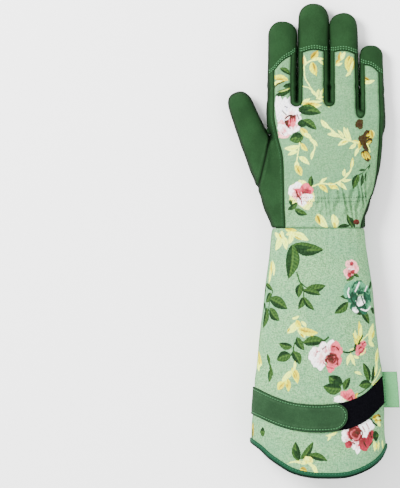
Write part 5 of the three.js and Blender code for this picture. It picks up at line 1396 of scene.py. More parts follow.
# Materials
class Shader:
    """A material's nodes, made with short calls."""

    def __init__(self, name):
        self.material = bpy.data.materials.new(name)
        self.material.use_nodes = True
        self.tree = self.material.node_tree
        self.surface = self.tree.nodes["Principled BSDF"]

    def add(self, kind, values=None, **settings):
        node = self.tree.nodes.new("ShaderNode" + kind)
        for key, value in settings.items():
            setattr(node, key, value)
        for key, value in (values or {}).items():
            self.feed(node.inputs[key], value)
        return node

    def feed(self, socket, value):
        if isinstance(value, bpy.types.NodeSocket):
            self.tree.links.new(value, socket)
        else:
            socket.default_value = value

    def maths(self, operation, a, b):
        return self.add("Math", {0: a, 1: b}, operation=operation).outputs[0]

    def times(self, a, b):
        return self.maths("MULTIPLY", a, b)

    def mix(self, factor, a, b):
        return self.add("Mix", {0: factor, 6: a, 7: b}, data_type="RGBA").outputs[2]

    def value(self, name):
        return self.add("Attribute", attribute_name=name).outputs["Fac"]

    def vector(self, name):
        return self.add("Attribute", attribute_name=name).outputs["Vector"]

    def stretched(self, vector, scale):
        return self.add("Mapping", {"Vector": vector, "Scale": scale}).outputs["Vector"]

    def noise(self, vector, scale, detail=2.0, rough=0.5):
        values = {"Vector": vector, "Scale": scale, "Detail": detail, "Roughness": rough}
        return self.add("TexNoise", values).outputs["Fac"]

    def ramp(self, value, low, high, start=0.0, end=1.0):
        values = {"Value": value, "From Min": low, "From Max": high, "To Min": start, "To Max": end}
        return self.add("MapRange", values, interpolation_type="SMOOTHSTEP").outputs["Result"]

    def object_place(self):
        return self.add("TexCoord").outputs["Object"]

    def wave(self, vector, scale, distortion, direction):
        values = {"Vector": vector, "Scale": scale, "Distortion": distortion}
        return self.add("TexWave", values, bands_direction=direction).outputs["Fac"]

    def cells(self, vector, scale, feature):
        values = {"Vector": vector, "Scale": scale}
        return self.add("TexVoronoi", values, feature=feature).outputs["Distance"]

    def bump(self, height, distance, strength, under=None):
        values = {"Height": height, "Distance": distance, "Strength": strength}
        if under is not None:
            values["Normal"] = under
        return self.add("Bump", values).outputs["Normal"]

    def finish(self, tone, roughness, shine=0.5, normal=None, sheen=0.0):
        """Gives the surface its colour, roughness, level of shine, bumps and sheen."""
        inputs = self.surface.inputs
        self.feed(inputs["Base Color"], tone)
        self.feed(inputs["Roughness"], roughness)
        if normal is not None:
            self.feed(inputs["Normal"], normal)
        inputs["Specular IOR Level"].default_value = shine
        inputs["Sheen Weight"].default_value = sheen
        return self.material


def rgba(colour, factor=1.0):
    return (*(min(float(c) * factor, 1.0) for c in colour), 1.0)


def leather(name, colour, roughness=0.78, grain=1.0, sheen=0.04):
    """Soft work leather: a fine pebbled grain, patches of tone, painted shade in the seam grooves and where
    the surface turns away from the light, and painted highlights on the raised rims beside the seams.
    """
    s = Shader(name)
    place = s.object_place()
    patches = s.noise(place, 45.0, 3.0, 0.6)
    fine = s.noise(place, 900.0, 2.0, 0.6)
    cells = s.cells(place, 850.0, "DISTANCE_TO_EDGE")
    tone = s.mix(s.ramp(patches, 0.3, 0.7), rgba(colour, 0.84), rgba(colour, 1.16))
    tone = s.mix(s.times(s.ramp(fine, 0.35, 0.65), 0.3), tone, rgba(colour, 0.6))
    gap = s.value("seam")
    # Painted shade: the leather is darkened within about 1.5 mm of each seam, down the sunken seam groove
    tone = s.mix(s.ramp(gap, 0.1, 1.5, 0.9, 0.0), tone, rgba(colour, 0.15))
    # Painted highlight: a paler, patchy band on the raised rims 1.4 to 4.6 mm from each seam, only where the
    # surface faces up
    highlight_and_fade = s.times(s.ramp(gap, 1.4, 2.6), s.ramp(gap, 4.6, 3.0))
    highlight_and_fade = s.times(highlight_and_fade, s.ramp(s.noise(place, 220.0), 0.42, 0.7, 0.1, 0.4))
    highlight_and_fade = s.times(highlight_and_fade, s.ramp(s.value("roll"), 0.15, 0.4, 1.0, 0.0))
    # Painted shade: the leather darkens where roll says its surface turns away from the light overhead
    tone = s.mix(s.ramp(s.value("roll"), 0.3, 0.78, 0.0, 0.93), tone, rgba(colour, 0.12))
    # Lays the painted rim highlight over the painted shade
    tone = s.mix(highlight_and_fade, tone, rgba(np.array(colour) + 0.004, 1.5))
    s.surface.inputs["Sheen Tint"].default_value = rgba(colour, 8.0)
    pebbles = s.bump(s.ramp(cells, 0.0, 0.25), 0.00022 * grain, 0.55)
    bumps = s.bump(fine, 0.00025 * grain, 0.5, pebbles)
    uneven = s.ramp(fine, 0.3, 0.7, roughness - 0.07, roughness + 0.1)
    return s.finish(tone, uneven, shine=0.05, normal=bumps, sheen=sheen)


def printed_cloth(name):
    """Sage canvas with slubs and a fine weave, under the ink that its vertices carry, with painted shade in
    its seam grooves and where it turns away from the light.
    """
    s = Shader(name)
    place = s.object_place()
    flat = s.vector("cloth")
    weft = s.noise(s.stretched(flat, (0.16, 1.5, 1.0)), 1.0, 3.0, 0.62)
    warp = s.noise(s.stretched(flat, (1.5, 0.16, 1.0)), 1.0, 3.0, 0.62)
    heather = s.maths("ADD", weft, warp)
    weave = s.maths("ADD", s.wave(flat, 0.36, 0.4, "X"), s.wave(flat, 0.36, 0.4, "Y"))
    speck = s.noise(place, 760.0, 2.0, 0.7)
    base = s.mix(s.ramp(heather, 0.78, 1.22), rgba(SAGE, 0.72), rgba(SAGE, 1.5))
    grainy = s.ramp(s.noise(place, 480.0, 3.0, 0.8), 0.42, 0.6, 0.0, 0.72)
    base = s.mix(grainy, base, rgba(CLOTH_DARK_FIBRES))
    base = s.mix(s.times(s.ramp(speck, 0.45, 0.62), 0.6), base, rgba(CLOTH_PALE_SPECKS))
    base = s.mix(s.ramp(s.noise(place, 26.0), 0.35, 0.7, 0.0, 0.35), base, rgba(CLOTH_COOL_PATCHES))
    # The cloth grows darker from 8 mm below the wrist seam to 45 mm up the hand, and stays so towards the
    # fingers
    highlight_and_fade = s.ramp(s.add("SeparateXYZ", {"Vector": flat}).outputs["Y"], -8.0, 45.0, 0.0, 0.42)
    base = s.mix(highlight_and_fade, base, rgba(SAGE, 0.62))
    ink = s.add("Attribute", attribute_name="print_colour").outputs["Color"]
    ink = s.mix(s.ramp(heather, 0.7, 1.3, 0.12, 0.0), ink, rgba(SAGE, 0.9))
    ragged = s.times(s.maths("SUBTRACT", s.noise(place, 900.0), 0.5), 1.3)
    edge = s.maths("ADD", s.value("print_edge"), ragged)
    tone = s.mix(s.ramp(edge, -0.22, 0.22), base, ink)
    # Painted shade: the cloth is darkened within about 1.3 mm of each seam, down the sunken seam groove
    tone = s.mix(s.ramp(s.value("seam"), 0.1, 1.3, 0.7, 0.0), tone, rgba(SAGE, 0.3))
    # Painted shade: the cloth darkens where roll says its surface turns away from the light overhead
    tone = s.mix(s.ramp(s.value("roll"), 0.5, 1.0, 0.0, 0.7), tone, rgba(SAGE, 0.22))
    bumps = s.bump(weave, 0.00025, 0.35, s.bump(heather, 0.0005, 0.35))
    return s.finish(tone, roughness=0.9, shine=0.02, normal=bumps)


def woven_tape(name, colour, sheen=0.03, roughness=0.85):
    """A ribbed tape or ribbon, with painted shade on its fold and edges."""
    s = Shader(name)
    place = s.object_place()
    fine = s.noise(place, 900.0, 2.0, 0.6)
    ribs = s.wave(place, 260.0, 1.5, "Y")
    tone = s.mix(s.ramp(fine, 0.3, 0.7), rgba(colour, 0.82), rgba(colour, 1.12))
    tone = s.mix(s.times(ribs, 0.18), tone, rgba(colour, 0.7))
    # Painted shade: the tape darkens where roll marks its fold and edges, which turn away from the light
    tone = s.mix(s.ramp(s.value("roll"), 0.2, 0.8, 0.0, 0.95), tone, rgba(colour, 0.12))
    bumps = s.bump(ribs, 0.0002, 0.4, s.bump(fine, 0.0002, 0.4))
    return s.finish(tone, roughness, shine=0.05, normal=bumps, sheen=sheen)


def loop_pile(name):
    """Black fastening tape covered with tiny loops."""
    s = Shader(name)
    place = s.object_place()
    cells = s.cells(place, 1100.0, "F1")
    fluff = s.noise(place, 1700.0, 3.0, 0.7)
    tone = s.mix(s.ramp(cells, 0.1, 0.7), rgba(LOOP_BLACK, 2.4), rgba(LOOP_BLACK, 0.8))
    tone = s.mix(s.times(fluff, 0.3), tone, rgba(LOOP_FLUFF))
    bumps = s.bump(cells, 0.0005, 0.8, s.bump(fluff, 0.0003, 0.6))
    return s.finish(tone, roughness=0.95, shine=0.01, normal=bumps)


def thread(name, colour):
    """Twisted sewing thread."""
    s = Shader(name)
    twist = s.wave(s.object_place(), 900.0, 2.0, "DIAGONAL")
    return s.finish(s.mix(twist, rgba(colour, 0.8), rgba(colour, 1.15)), roughness=0.65, shine=0.2)


# Stitches: rows of short raised threads that follow a line over a surface
# A stitch's rings of vertices: place along it, size, and height over the surface
STITCH_RINGS = [
    (-0.5, 0.25, -0.9), (-0.32, 0.9, -0.15), (0.0, 1.0, 0.25), (0.32, 0.9, -0.15), (0.5, 0.25, -0.9),
]
STITCH_SIDES = 6


def stitch_meshes(rows, length, thick):
    """Vertices and quads of stitches. A row is its points, and the surface's normals there."""
    points = []
    faces = []
    sides = STITCH_SIDES
    stitch = 0
    turn = 2 * math.pi * np.arange(sides) / sides
    for line, normals, pitch in rows:
        reach = reach_along(line)
        for place in np.arange(pitch / 2, reach[-1], pitch):
            middle, ahead, behind = (
                np.array([np.interp(place + step, reach, line[:, k]) for k in range(3)])
                for step in (0, 0.8, -0.8)
            )
            up = np.array([np.interp(place, reach, normals[:, k]) for k in range(3)])
            way = unit(ahead - behind)
            up = unit(up - way * (up @ way))
            side = np.cross(way, up)
            start = len(STITCH_RINGS) * sides * stitch
            stitch += 1
            for at, size, lift in STITCH_RINGS:
                ring = np.outer(np.cos(turn), side) * thick * size
                ring = ring + np.outer(np.sin(turn), up) * thick * size * 0.8
                points.append(middle + way * length * at + up * thick * lift + ring)
            for k in range(len(STITCH_RINGS) - 1):
                a = start + k * sides + np.arange(sides)
                b = start + k * sides + (np.arange(sides) + 1) % sides
                faces.append(np.column_stack([a, b, b + sides, a + sides]))
            first = start + np.arange(sides)
            last = first + (len(STITCH_RINGS) - 1) * sides
            faces += [ring[[[0, 1, 2, 3], [0, 3, 4, 5]]] for ring in (first[::-1], last)]
    return np.vstack(points), np.vstack(faces)


def stitched(name, rows, material, slot, length=2.2, thick=0.36):
    """One piece of all the stitches in some rows."""
    points, faces = stitch_meshes(rows, length, thick)
    return finish_piece(make_object(name, points, [faces]), material, slot)


class Skin:
    """The dressed hand, which plan lines can be dropped onto from above or from below."""

    def __init__(self, points, triangles):
        self.tree = BVHTree.FromPolygons(points.tolist(), triangles.tolist())

    def drop(self, line, over=True, lift=0.1):
        """The line's plan points set on the surface, with the normals there."""
        height, way = (90.0, -1.0) if over else (-20.0, 1.0)
        places = []
        normals = []
        for x, y in line:
            hit, normal, _, _ = self.tree.ray_cast(Vector((x, y, height)), Vector((0, 0, way)))
            if hit is None:
                continue
            normal = np.array(normal)
            if normal[2] * way > 0:
                normal = -normal
            places.append(np.array(hit) + lift * normal)
            normals.append(normal)
        return np.array(places), np.array(normals)

    def row(self, line, pitch, over=True, lift=0.1):
        """A row of stitches along a plan line: its points, the normals there and its pitch."""
        return (*self.drop(line, over, lift), pitch)


def beside(line, distance):
    """A plan line moved to its left by a distance."""
    run = unit(np.gradient(line, axis=0))
    return line + distance * np.column_stack([-run[:, 1], run[:, 0]])


# Building the hand
def build_back(points, dressed, inner, triangles, normals, gap, material):
    """The printed back, with an outer skin twice as fine as the other pieces have."""
    used, local = np.unique(triangles, return_inverse=True)
    local = local.reshape(-1, 3)
    edges, fine = refined(local, len(used))

    def finer(values):
        return np.concatenate([values[used], values[used][edges].mean(axis=1)])

    flat = finer(points)
    drop = np.sign(flat[:, 0] - 5) * 0.5 * np.maximum(0, palm_top(flat[:, 1]) - flat[:, 2])
    places = np.column_stack([flat[:, 0] + drop, flat[:, 1]])
    n = len(flat)
    border = edge_loops(local, len(used))
    keys = edges[:, 0] * n + edges[:, 1]
    low, high = np.sort(border, axis=1).T
    middle = len(used) + np.searchsorted(keys, low * n + high)
    a, b = border.T
    walls = np.column_stack([b, middle, a, a + n, b + n])
    ink = paint(places, HAND_PRINT, lambda x, y: (x, y))
    # roll, how far the cloth turns from facing up, places its painted shade; the seam distance places
    # painted shade in the seam grooves
    roll = 1 - np.abs(finer(normals)[:, 2])
    cloth = np.column_stack([places, flat[:, 2] * 0.3])
    attributes = cloth_data(ink, finer(gap), roll, cloth, gap[used], points[used])
    rim = [np.column_stack([a, middle]), np.column_stack([middle, b]), border + n]
    faces = [fine, local[:, ::-1] + n, walls]
    both = np.vstack([finer(dressed), inner[used]])
    obj = make_object("glove_back_panel", both, faces, attributes, np.vstack(rim))
    finish_piece(obj, material, "printed_fabric", "back_panel")


def build_hand(materials):
    """Every leather piece of the hand, its printed back and its pad. Returns the surface for stitches."""
    points, triangles, names = hand_panels()
    gap = seam_gap(points)
    normals = vertex_normals(points, triangles)
    dressed = dress_hand(points, normals, gap)
    dressed[:, 2] = np.maximum(dressed[:, 2], 0.15)
    new_normals = vertex_normals(dressed, triangles)
    inner = dressed - HAND_WALL * new_normals
    skin = Skin(dressed, triangles)
    # seam places the leather's painted shade in the seam grooves and its painted highlights on the rims
    # beside them; roll, how far the surface turns from facing up, places its painted shade
    attributes = {"seam": gap, "roll": 1 - np.abs(new_normals[:, 2])}
    for name in np.unique(names):
        material = materials[material_of(name)]
        piece = triangles[names == name]
        if name == "back_panel":
            build_back(points, dressed, inner, piece, new_normals, gap, material)
            continue
        obj = leather_piece("glove_" + name, dressed, piece, inner, attributes)
        finish_piece(obj, material, material_of(name), name)
    build_pad(points, dressed, new_normals, triangles[names == "palm"], materials["leather"])
    return skin


def palm_top(y):
    """Height of the back of the hand along its middle."""
    return PALM_LIFT + palm_height(y)


def material_of(name):
    """The slot of one of the hand's pieces, which is also the name of its material."""
    if name == "back_panel":
        return "printed_fabric"
    if name.startswith("touch_tip"):
        return "black_leather"
    return "leather" if name in ("palm", "thumb_palm") else "dark_leather"


def channel_distance(places):
    """Distance of plan points to the nearest stitched channel of the pad."""
    return np.min([line_distance(places, line) for line in pad_channels], axis=0)


def pad_thickness(level, channel):
    """How thick the pad is at a distance inside its border and from its channels."""
    crown = np.sqrt(np.clip(1 - (1 - np.clip(level / 5.0, 0, 1)) ** 2, 0, 1))
    return 0.25 + 2.3 * crown * (1 - 0.75 * bell(channel, 1.9))


def build_pad(points, dressed, normals, triangles, material):
    """The padded reinforcement: a quilted cushion on the palm's underside."""
    inside = inside_distance(points[:, :2], pad_line)
    cut_points, cut_triangles = split(np.column_stack([points, dressed, normals]), triangles, inside)
    flat, skin, normal = cut_points[:, :3], cut_points[:, 3:6], cut_points[:, 6:9]
    level = inside_distance(flat[:, :2], pad_line)
    keep = level[cut_triangles].mean(axis=1) > 0
    keep &= flat[cut_triangles][:, :, 2].mean(axis=1) < SEAM_HEIGHT - 1.5
    cut_triangles = cut_triangles[keep]
    channel = channel_distance(flat[:, :2])
    thick = pad_thickness(level, channel)
    outer = skin + normal * thick[:, None]
    outer[:, 2] = np.maximum(outer[:, 2], 0.0)
    # seam is the distance to the pad's border and its stitched channels, where the leather lays painted
    # shade in the grooves and painted highlights on the ridges beside them
    gap = np.minimum(np.maximum(level, 0), channel)
    obj = leather_piece("glove_palm_pad", outer, cut_triangles, skin - 0.1 * normal, {"seam": gap})
    finish_piece(obj, material, "leather", "palm_pad")


# Building the cuff
def facing_out(normals, points):
    """Normals of length 1, turned away from the cuff's middle line."""
    normals = unit(normals)
    side = normals[..., 0] * points[..., 0] + normals[..., 2] * (points[..., 2] - MIDDLE_HEIGHT)
    return normals * np.sign(side)[..., None]


def cuff_grid(over, rows, columns, out):
    """A grid of points over one panel, moved out by a distance, and the angle of each point."""
    angle = level_angles(over, columns)
    start = np.zeros(len(angle)) if over else wrist_dip(cuff_point(angle, np.zeros(len(angle)))[:, 0])
    v = np.linspace(0, 1, rows + 1)[:, None]
    y = (start - WRIST_SEAM_GAP) * (1 - v) + hem_y(angle) * v
    angles = np.broadcast_to(angle, y.shape)
    return cuff_point(angles, y, out), angles


def build_cuff_panel(over, name, rows, material):
    """A printed panel. Its inner side has one row and column for each INNER_RATIO outside."""
    ratio = INNER_RATIO
    coarse_rows, coarse_columns = CUFF_ROWS // ratio, CUFF_COLUMNS // ratio
    outer, angles = cuff_grid(over, CUFF_ROWS, CUFF_COLUMNS, 0.0)
    flat = outer.reshape(-1, 3)
    wave = cuff_wave(flat, angles.ravel())
    normals = np.cross(np.gradient(outer, axis=0), np.gradient(outer, axis=1))
    normals = facing_out(normals, outer).reshape(-1, 3)
    dressed = flat + normals * wave[:, None]
    dressed[:, 2] = np.maximum(dressed[:, 2], 0.3)
    inner = cuff_grid(over, coarse_rows, coarse_columns, -CUFF_WALL)[0].reshape(-1, 3)
    middle = np.argmin(np.abs(across_of(angles[0])))
    reach = np.array([reach_along(line) for line in outer])
    reach -= reach[:, middle:middle + 1]
    places = np.column_stack([reach.ravel(), outer[:, :, 1].ravel()])

    def place_of(x, y):
        """Where a plan point lies on the flat cloth: past the side it counts as already flat."""
        row = np.argmin(np.abs(outer[:, middle, 1] - y))
        xs = outer[row, :, 0]
        limit = np.abs(xs).max() * 0.985
        level = float(np.clip(x, -limit, limit))
        return float(np.interp(level, xs, reach[row])) + x - level, y

    ink = paint(places, rows, place_of)
    n, m = len(flat), len(inner)
    faces = [grid_faces(CUFF_ROWS, CUFF_COLUMNS, 0, not over)]
    faces.append(grid_faces(coarse_rows, coarse_columns, n, over))
    rims = []
    triangles = []
    outer_borders = borders(np.arange(n).reshape(CUFF_ROWS + 1, -1))
    inner_borders = borders(n + np.arange(m).reshape(coarse_rows + 1, -1))
    for (fine, turned), (coarse, _) in zip(outer_borders, inner_borders):
        rims += [np.column_stack([line[:-1], line[1:]]) for line in (fine, coarse)]
        for k in range(len(coarse) - 1):
            run = fine[ratio * k:ratio * k + ratio + 1]
            a, b = coarse[k], coarse[k + 1]
            parts = [(a, run[1], run[0]), (a, run[2], run[1]), (a, b, run[2]), (b, run[3], run[2]),
                     (b, run[4], run[3])]
            triangles += [p[::-1] if turned != over else p for p in parts]
    faces.append(np.array(triangles))
    # seam is the distance to the wrist and side seams, where the cloth gets painted shade in the grooves
    seam = np.minimum(np.abs(flat[:, 1] - np.where(over, 0, wrist_dip(flat[:, 0]))), 60)
    side = np.minimum(reach - reach[:, :1], reach[:, -1:] - reach).ravel()
    seam = np.minimum(seam, side)
    cloth = np.column_stack([places, np.zeros(n)])
    # The roll given here, how far the cloth turns from facing up, places its painted shade
    attributes = cloth_data(ink, seam, 1 - np.abs(normals[:, 2]), cloth, np.full(m, 20.0), inner)
    obj = make_object("glove_" + name, np.vstack([dressed, inner]), faces, attributes, np.vstack(rims))
    finish_piece(obj, material, "printed_fabric", name)


# The tape's section, out from the middle of the cuff's wall and back from the hem
BINDING_SECTION = [
    (1.45, 4.1), (1.9, 3.5), (2.0, 1.5), (1.85, -0.2), (1.2, -1.2), (0.0, -1.6), (-1.2, -1.2),
    (-1.85, -0.2), (-2.0, 1.5), (-1.9, 3.5), (-1.45, 4.1), (-1.2, 4.0), (-1.15, 0.0), (0.0, -0.6),
    (1.15, 0.0), (1.2, 4.0),
]
BINDING_OUTER = 11
BINDING_STEPS = 420


def build_binding(material):
    """The tape folded over the hem, with a rounded fold and soft puckers."""
    steps = BINDING_STEPS
    angle = np.concatenate([level_angles(True, steps // 2)[:0:-1], level_angles(False, steps // 2)[:-1]])
    y = hem_y(angle)
    middle = cuff_point(angle, y, -CUFF_WALL / 2)
    ahead = unit(np.roll(middle, -1, axis=0) - np.roll(middle, 1, axis=0))
    up_cuff = cuff_point(angle, y + 4.0, -CUFF_WALL / 2) - middle
    out = facing_out(np.cross(up_cuff, ahead), middle)
    back = np.cross(ahead, out)
    back *= np.sign(back[:, 1])[:, None]
    reach = reach_along(middle)
    rings = []
    for k, (o, b) in enumerate(BINDING_SECTION):
        pucker = 0.06 * np.sin(2 * math.pi * reach / 3.4 + k) + 0.05 * np.sin(reach / 5.1)
        swell = 1 + pucker * (k < BINDING_OUTER)
        rings.append(middle + out * (o * swell)[:, None] + back * b)
    count = len(BINDING_SECTION)
    a = np.arange(steps * count).reshape(steps, count)
    b = np.roll(a, -1, axis=1)
    faces = np.stack([a, b, np.roll(b, -1, axis=0), np.roll(a, -1, axis=0)], axis=-1).reshape(-1, 4)
    flat = np.stack(rings, axis=1).reshape(-1, 3)
    flat[:, 2] = np.maximum(flat[:, 2], 0.1)
    # roll marks the tape's fold round the hem, which gets painted shade
    roll = np.tile([smooth_step(1.6, -0.6, b) for _, b in BINDING_SECTION], steps)
    obj = make_object("glove_hem_binding", flat, [outward(flat, faces)], {"roll": roll})
    finish_piece(obj, material, "binding_tape", "hem_binding")
    return [(middle + side * 2.05 + back * 2.7, side, 2.9) for side in (out, -out)]


def on_cuff(across, y, out):
    """Points on the dressed back of the cuff, moved out from it, with the surface's normals."""
    angle = angle_at(across)
    place = cuff_point(angle, y)
    beside_it = cuff_point(angle + 0.01, y) - cuff_point(angle - 0.01, y)
    along = cuff_point(angle, y + 0.5) - cuff_point(angle, y - 0.5)
    normal = facing_out(np.cross(along, beside_it), place)
    return place + normal * np.asarray(out)[..., None], normal


def band(name, start, end, lift, material, slot, wall, columns, rows=22, rounded=False):
    """A strap that lies on the cuff's back, with soft edges and, where asked, a round end."""
    low, high = angle_at(np.array([start, end]))
    share = np.linspace(0, 1, columns + 1)[:, None]
    share = 1 - (1 - share) ** 1.7 if rounded else share
    across = across_of(low + (high - low) * share)
    left = np.abs(end - across) * cuff_half(strap_line(end))
    half = STRAP_WIDTH / 2
    v = np.sin(np.linspace(-math.pi / 2, math.pi / 2, rows + 1))
    if rounded:
        bend = np.clip(1 - left / half, 0, 1)
        half = half * np.sqrt(np.maximum(1 - bend**2, 0.0)) + 0.05
    grid_across = np.repeat(across, rows + 1, axis=1)
    y = strap_line(across) - half * v
    rim = half * (1 - np.abs(v)) + 0 * y
    if rounded:
        rim = np.minimum(rim, left)
    raised = np.clip(rim / 1.4, 0, 1)
    puff = wall * np.sqrt(np.clip(1 - (1 - raised) ** 2, 0, 1)) * 0.5
    welt = 0.25 * bell(rim - 1.0, 0.9) - 0.3 * bell(rim - 2.3, 0.7)
    base = lift(grid_across)
    noise = 0.12 * ripple(np.column_stack([grid_across.ravel() * 60, y.ravel()]), 14, 41).reshape(y.shape)
    top = on_cuff(grid_across, y, base + wall / 2 + puff + welt + noise)[0]
    bottom = on_cuff(grid_across, y, base + wall / 2 - puff)[0]
    points, quads = two_sided(top, bottom)
    # seam is the distance to the stitch groove along the band, where leather lays painted shade, with
    # painted highlights beside it; roll marks the band's rounded edges, on which leather lays painted shade
    attributes = {
        "seam": np.concatenate([np.abs(rim - 2.3).ravel() + 0.5, np.full(rim.size, 20.0)]),
        "roll": np.concatenate([smooth_step(1.1, 0.1, rim).ravel(), np.zeros(rim.size)]),
    }
    obj = make_object("glove_" + name, points, [quads], attributes)
    finish_piece(obj, material, slot, name)


def loop_end():
    """Where the loop strip ends, under the strap's free end."""
    return STRAP_END - LOOP_LAP / cuff_half(strap_line(STRAP_END))


def strap_lift(across):
    """The strap lies on the cuff, and past its middle on the loop strip."""
    start = loop_end()
    return 0.15 + 1.5 * smooth_step(start - 0.22, start - 0.02, across)


def strap_stitches():
    """The line of stitches that runs round the strap's border."""
    half = STRAP_WIDTH / 2 - STRAP_SEAM_INSET
    end = STRAP_END - STRAP_SEAM_INSET / cuff_half(strap_line(STRAP_END))
    across = across_of(np.linspace(angle_at(np.array(-0.985)), angle_at(np.array(end - half / 60)), 60))
    upper = np.column_stack([across, strap_line(across) + half])
    lower = np.column_stack([across, strap_line(across) - half])[::-1]
    around = np.linspace(math.pi / 2, -math.pi / 2, 24)
    across = end + half * (np.cos(around) - 1) / cuff_half(strap_line(end))
    tip = np.column_stack([across, strap_line(across) + half * np.sin(around)])
    line = np.vstack([upper, tip, lower])
    points, normals = on_cuff(line[:, 0], line[:, 1], strap_lift(line[:, 0]) + 1.72)
    return [(points, normals, 2.7)]


def build_tab(material):
    """The blank ribbon tab: a folded strip that stands out of the side seam, a little bent."""
    columns, rows = 20, 40
    u = np.linspace(0, 1, columns + 1)[:, None]
    v = np.linspace(-0.5, 0.5, rows + 1)[None, :]
    y = -TAB_AT + TAB_LENGTH * v + 0 * u
    seam = cuff_point(np.zeros_like(y), y)
    droop = -1.2 * u**2 + 0.35 * np.sin(5 * v + 2 * u) * u
    edge = np.minimum((1 - u) * TAB_WIDTH, np.minimum(0.5 - v, 0.5 + v) * TAB_LENGTH)
    puff = 0.6 * np.sqrt(np.clip(1 - (1 - np.clip(edge / 0.9, 0, 1)) ** 2, 0.02, 1))
    x = seam[..., 0] - 0.4 + (TAB_WIDTH + 0.3) * u
    z = seam[..., 2] + droop
    points, quads = two_sided(*(np.stack([x, y, z + move], axis=-1) for move in (puff, -puff)))
    # roll marks the tab's rounded edges, which get painted shade
    roll = np.tile(0.5 * smooth_step(1.2, 0.2, edge).ravel(), 2)
    obj = make_object("glove_side_tab", points, [quads], {"roll": roll})
    finish_piece(obj, material, "tab_ribbon", "side_tab")
    ys = -TAB_AT + (TAB_LENGTH - 3) * np.linspace(-0.5, 0.5, 30)
    seams = cuff_point(np.zeros(30), ys)
    points = np.column_stack([seams[:, 0] + 2.2, ys, seams[:, 2] + 0.62])
    return [(points, np.tile([0.0, 0.0, 1.0], (30, 1)), 2.6)]


def across_finger(finger, y, share, count):
    """X of points across a finger, out to a share of its half width."""
    return finger_axis(finger, y) + np.linspace(-share, share, count) * finger_half(finger, y)


def level_line(xs, y):
    """Plan points at one y."""
    return np.column_stack([xs, np.full(len(xs), y)])


def pad_stitches(skin):
    """Rows round the pad and along its channels, raised onto its quilted surface."""
    rows = []
    for line in (beside(np.vstack([pad_line, pad_line[:1]]), 1.4), *pad_channels):
        points, normals = skin.drop(line[inside_distance(line, pad_line) > 1.0], over=False)
        low = points[:, 2] < SEAM_HEIGHT - 3.5
        points, normals = points[low], normals[low]
        level = inside_distance(points[:, :2], pad_line)
        lift = pad_thickness(level, channel_distance(points[:, :2])) - 0.15
        rows.append((points + normals * lift[:, None], normals, 2.7))
    return rows


def build_stitches(skin, materials, cuff_rows):
    """Every visible row of stitches on the hand and the cuff."""
    at = np.linspace(0.01, 0.9, 60)
    side = [skin.row(np.column_stack([back_edge("left", at) - 2.4, at * PALM_LENGTH]), pitch=2.8)]
    back = []
    for finger in FINGERS:
        xs = across_finger(finger, CAP_AT * finger["reach"] * HAND_LENGTH, 0.92, 30)
        back += [skin.row(np.column_stack([xs, cap_line(xs) + past]), pitch=2.6) for past in (1.9, 4.0)]
    xs = np.linspace(-26, 46, 120)
    lines = [np.column_stack([xs, elastic_y(xs) + past]) for past in (0.0, ELASTIC_STEP)]
    elastic = [skin.row(line, pitch=2.2, lift=0.05) for line in lines]
    palm = [skin.row(beside(thenar_seam, -past), pitch=2.7, over=False) for past in (1.6, 3.7)]
    for finger, share in zip(FINGERS, TIP_SEAMS.values()):
        y = share * HAND_LENGTH
        xs = across_finger(finger, y, 0.8, 24)
        palm += [skin.row(level_line(xs, y - before), pitch=2.5, over=False) for before in (1.7, 3.7)]
    for i, y in ((2, 164.5), (3, 140.0)):
        palm.append(skin.row(level_line(across_finger(FINGERS[i], y, 0.8, 24), y), pitch=2.5, over=False))
    across = np.linspace(-0.8, 0.8, 24)[:, None] * THUMB_SIDE * 13
    for before in (1.7, 3.7):
        line = THUMB_ROOT + THUMB_WAY * (THUMB_TIP_AT - before) + across
        palm.append(skin.row(line, pitch=2.5, over=False))
    palm += pad_stitches(skin)
    stitched("glove_stitches_side", side, materials["seam_thread"], "dark_leather")
    stitched("glove_stitches_back", back, materials["dark_thread"], "dark_leather", length=1.5, thick=0.5)
    stitched("glove_stitches_elastic", elastic, materials["sage_thread"], "printed_fabric",
             length=1.3, thick=0.4)
    stitched("glove_stitches_palm", palm, materials["palm_thread"], "leather")
    stitched("glove_stitches_cuff", cuff_rows, materials["tape_thread"], "binding_tape",
             length=2.0, thick=0.3)


def build_floor():
    """A plain pale floor under the glove."""
    mesh = bpy.data.meshes.new("floor")
    signs = ((-1, -1), (1, -1), (1, 1), (-1, 1))
    mesh.from_pydata([(x * FLOOR_HALF, y * FLOOR_HALF, FLOOR_HEIGHT) for x, y in signs], [], [(0, 1, 2, 3)])
    floor = add_object("floor", mesh)
    s = Shader("floor_paper")
    tone = s.mix(s.noise(s.object_place(), 3.0), *(rgba(white) for white in FLOOR_WHITES))
    mesh.materials.append(s.finish(tone, roughness=0.9))


def area_light(name, place, size, power):
    """A round light that faces the middle of the scene."""
    data = bpy.data.lights.new(name, "AREA")
    data.shape = "DISK"
    data.size = size
    data.energy = power
    light = add_object(name, data)
    light.location = place
    light.rotation_euler = (-Vector(place)).to_track_quat("-Z", "Y").to_euler()


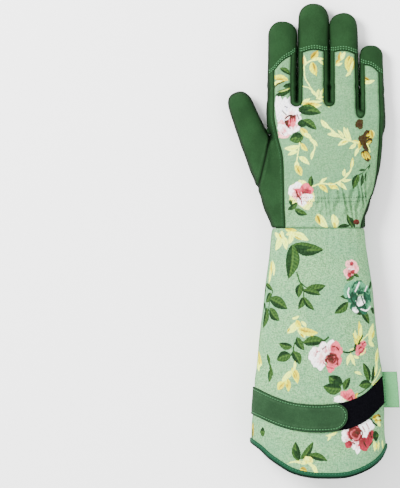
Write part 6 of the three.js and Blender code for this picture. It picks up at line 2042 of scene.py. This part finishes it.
def build_lights():
    """A key light from the upper left, a weak fill from the right, and a white surrounding."""
    area_light("key", (-1.2, 0.8, 1.55), size=0.9, power=120)
    area_light("fill", (1.1, -0.5, 1.5), size=1.4, power=18)
    world = bpy.data.worlds.new("studio")
    world.use_nodes = True
    background = world.node_tree.nodes["Background"]
    background.inputs["Color"].default_value = (1, 1, 1, 1)
    background.inputs["Strength"].default_value = 1.9
    bpy.context.scene.world = world


def build_camera():
    """Straight above the middle of the photograph's frame, in which the glove is on the right."""
    data = bpy.data.cameras.new("camera")
    data.sensor_fit = "VERTICAL"
    data.sensor_height = SENSOR_HEIGHT
    data.lens = SENSOR_HEIGHT * CAMERA_DISTANCE / (PHOTO_HEIGHT * MM_PER_PIXEL * MM)
    camera = add_object("camera", data)
    camera.location = (np.array(PHOTO_MIDDLE) + ORIGIN) * MM + [0, 0, CAMERA_DISTANCE]
    bpy.context.scene.camera = camera


def main():
    build_camera()
    build_floor()
    build_lights()
    materials = {
        "leather": leather("palm_leather", PALM_GREEN),
        "dark_leather": leather("back_leather", DORSAL_GREEN),
        "strap_leather": leather("strap_leather", STRAP_GREEN, roughness=0.82, grain=1.4),
        "black_leather": leather("tip_leather", BLACK_TIP, roughness=0.5, grain=1.2, sheen=0.0),
        "printed_fabric": printed_cloth("rose_canvas"),
        **{name: thread(name, colour) for name, colour in THREADS.items()},
    }
    skin = build_hand(materials)
    build_cuff_panel(True, "cuff_back", CUFF_PRINT + SIDE_PRINT, materials["printed_fabric"])
    build_cuff_panel(False, "cuff_palm", CUFF_PALM_PRINT, materials["printed_fabric"])
    rows = build_binding(woven_tape("hem_tape", TAPE_GREEN))
    band("strap", STRAP_START, STRAP_END, strap_lift, materials["strap_leather"], "dark_leather",
         wall=1.5, columns=150, rounded=True)
    band("loop_strip", LOOP_START, loop_end(), lambda across: 0.1 + 0 * across, loop_pile("loop_pile"),
         "loop_fabric", wall=1.1, columns=90)
    rows += build_tab(woven_tape("tab_ribbon", RIBBON_GREEN, sheen=0.06, roughness=0.6))
    build_stitches(skin, materials, rows)
    stitched("glove_stitches_strap", strap_stitches(), materials["dark_thread"], "dark_leather")


main()
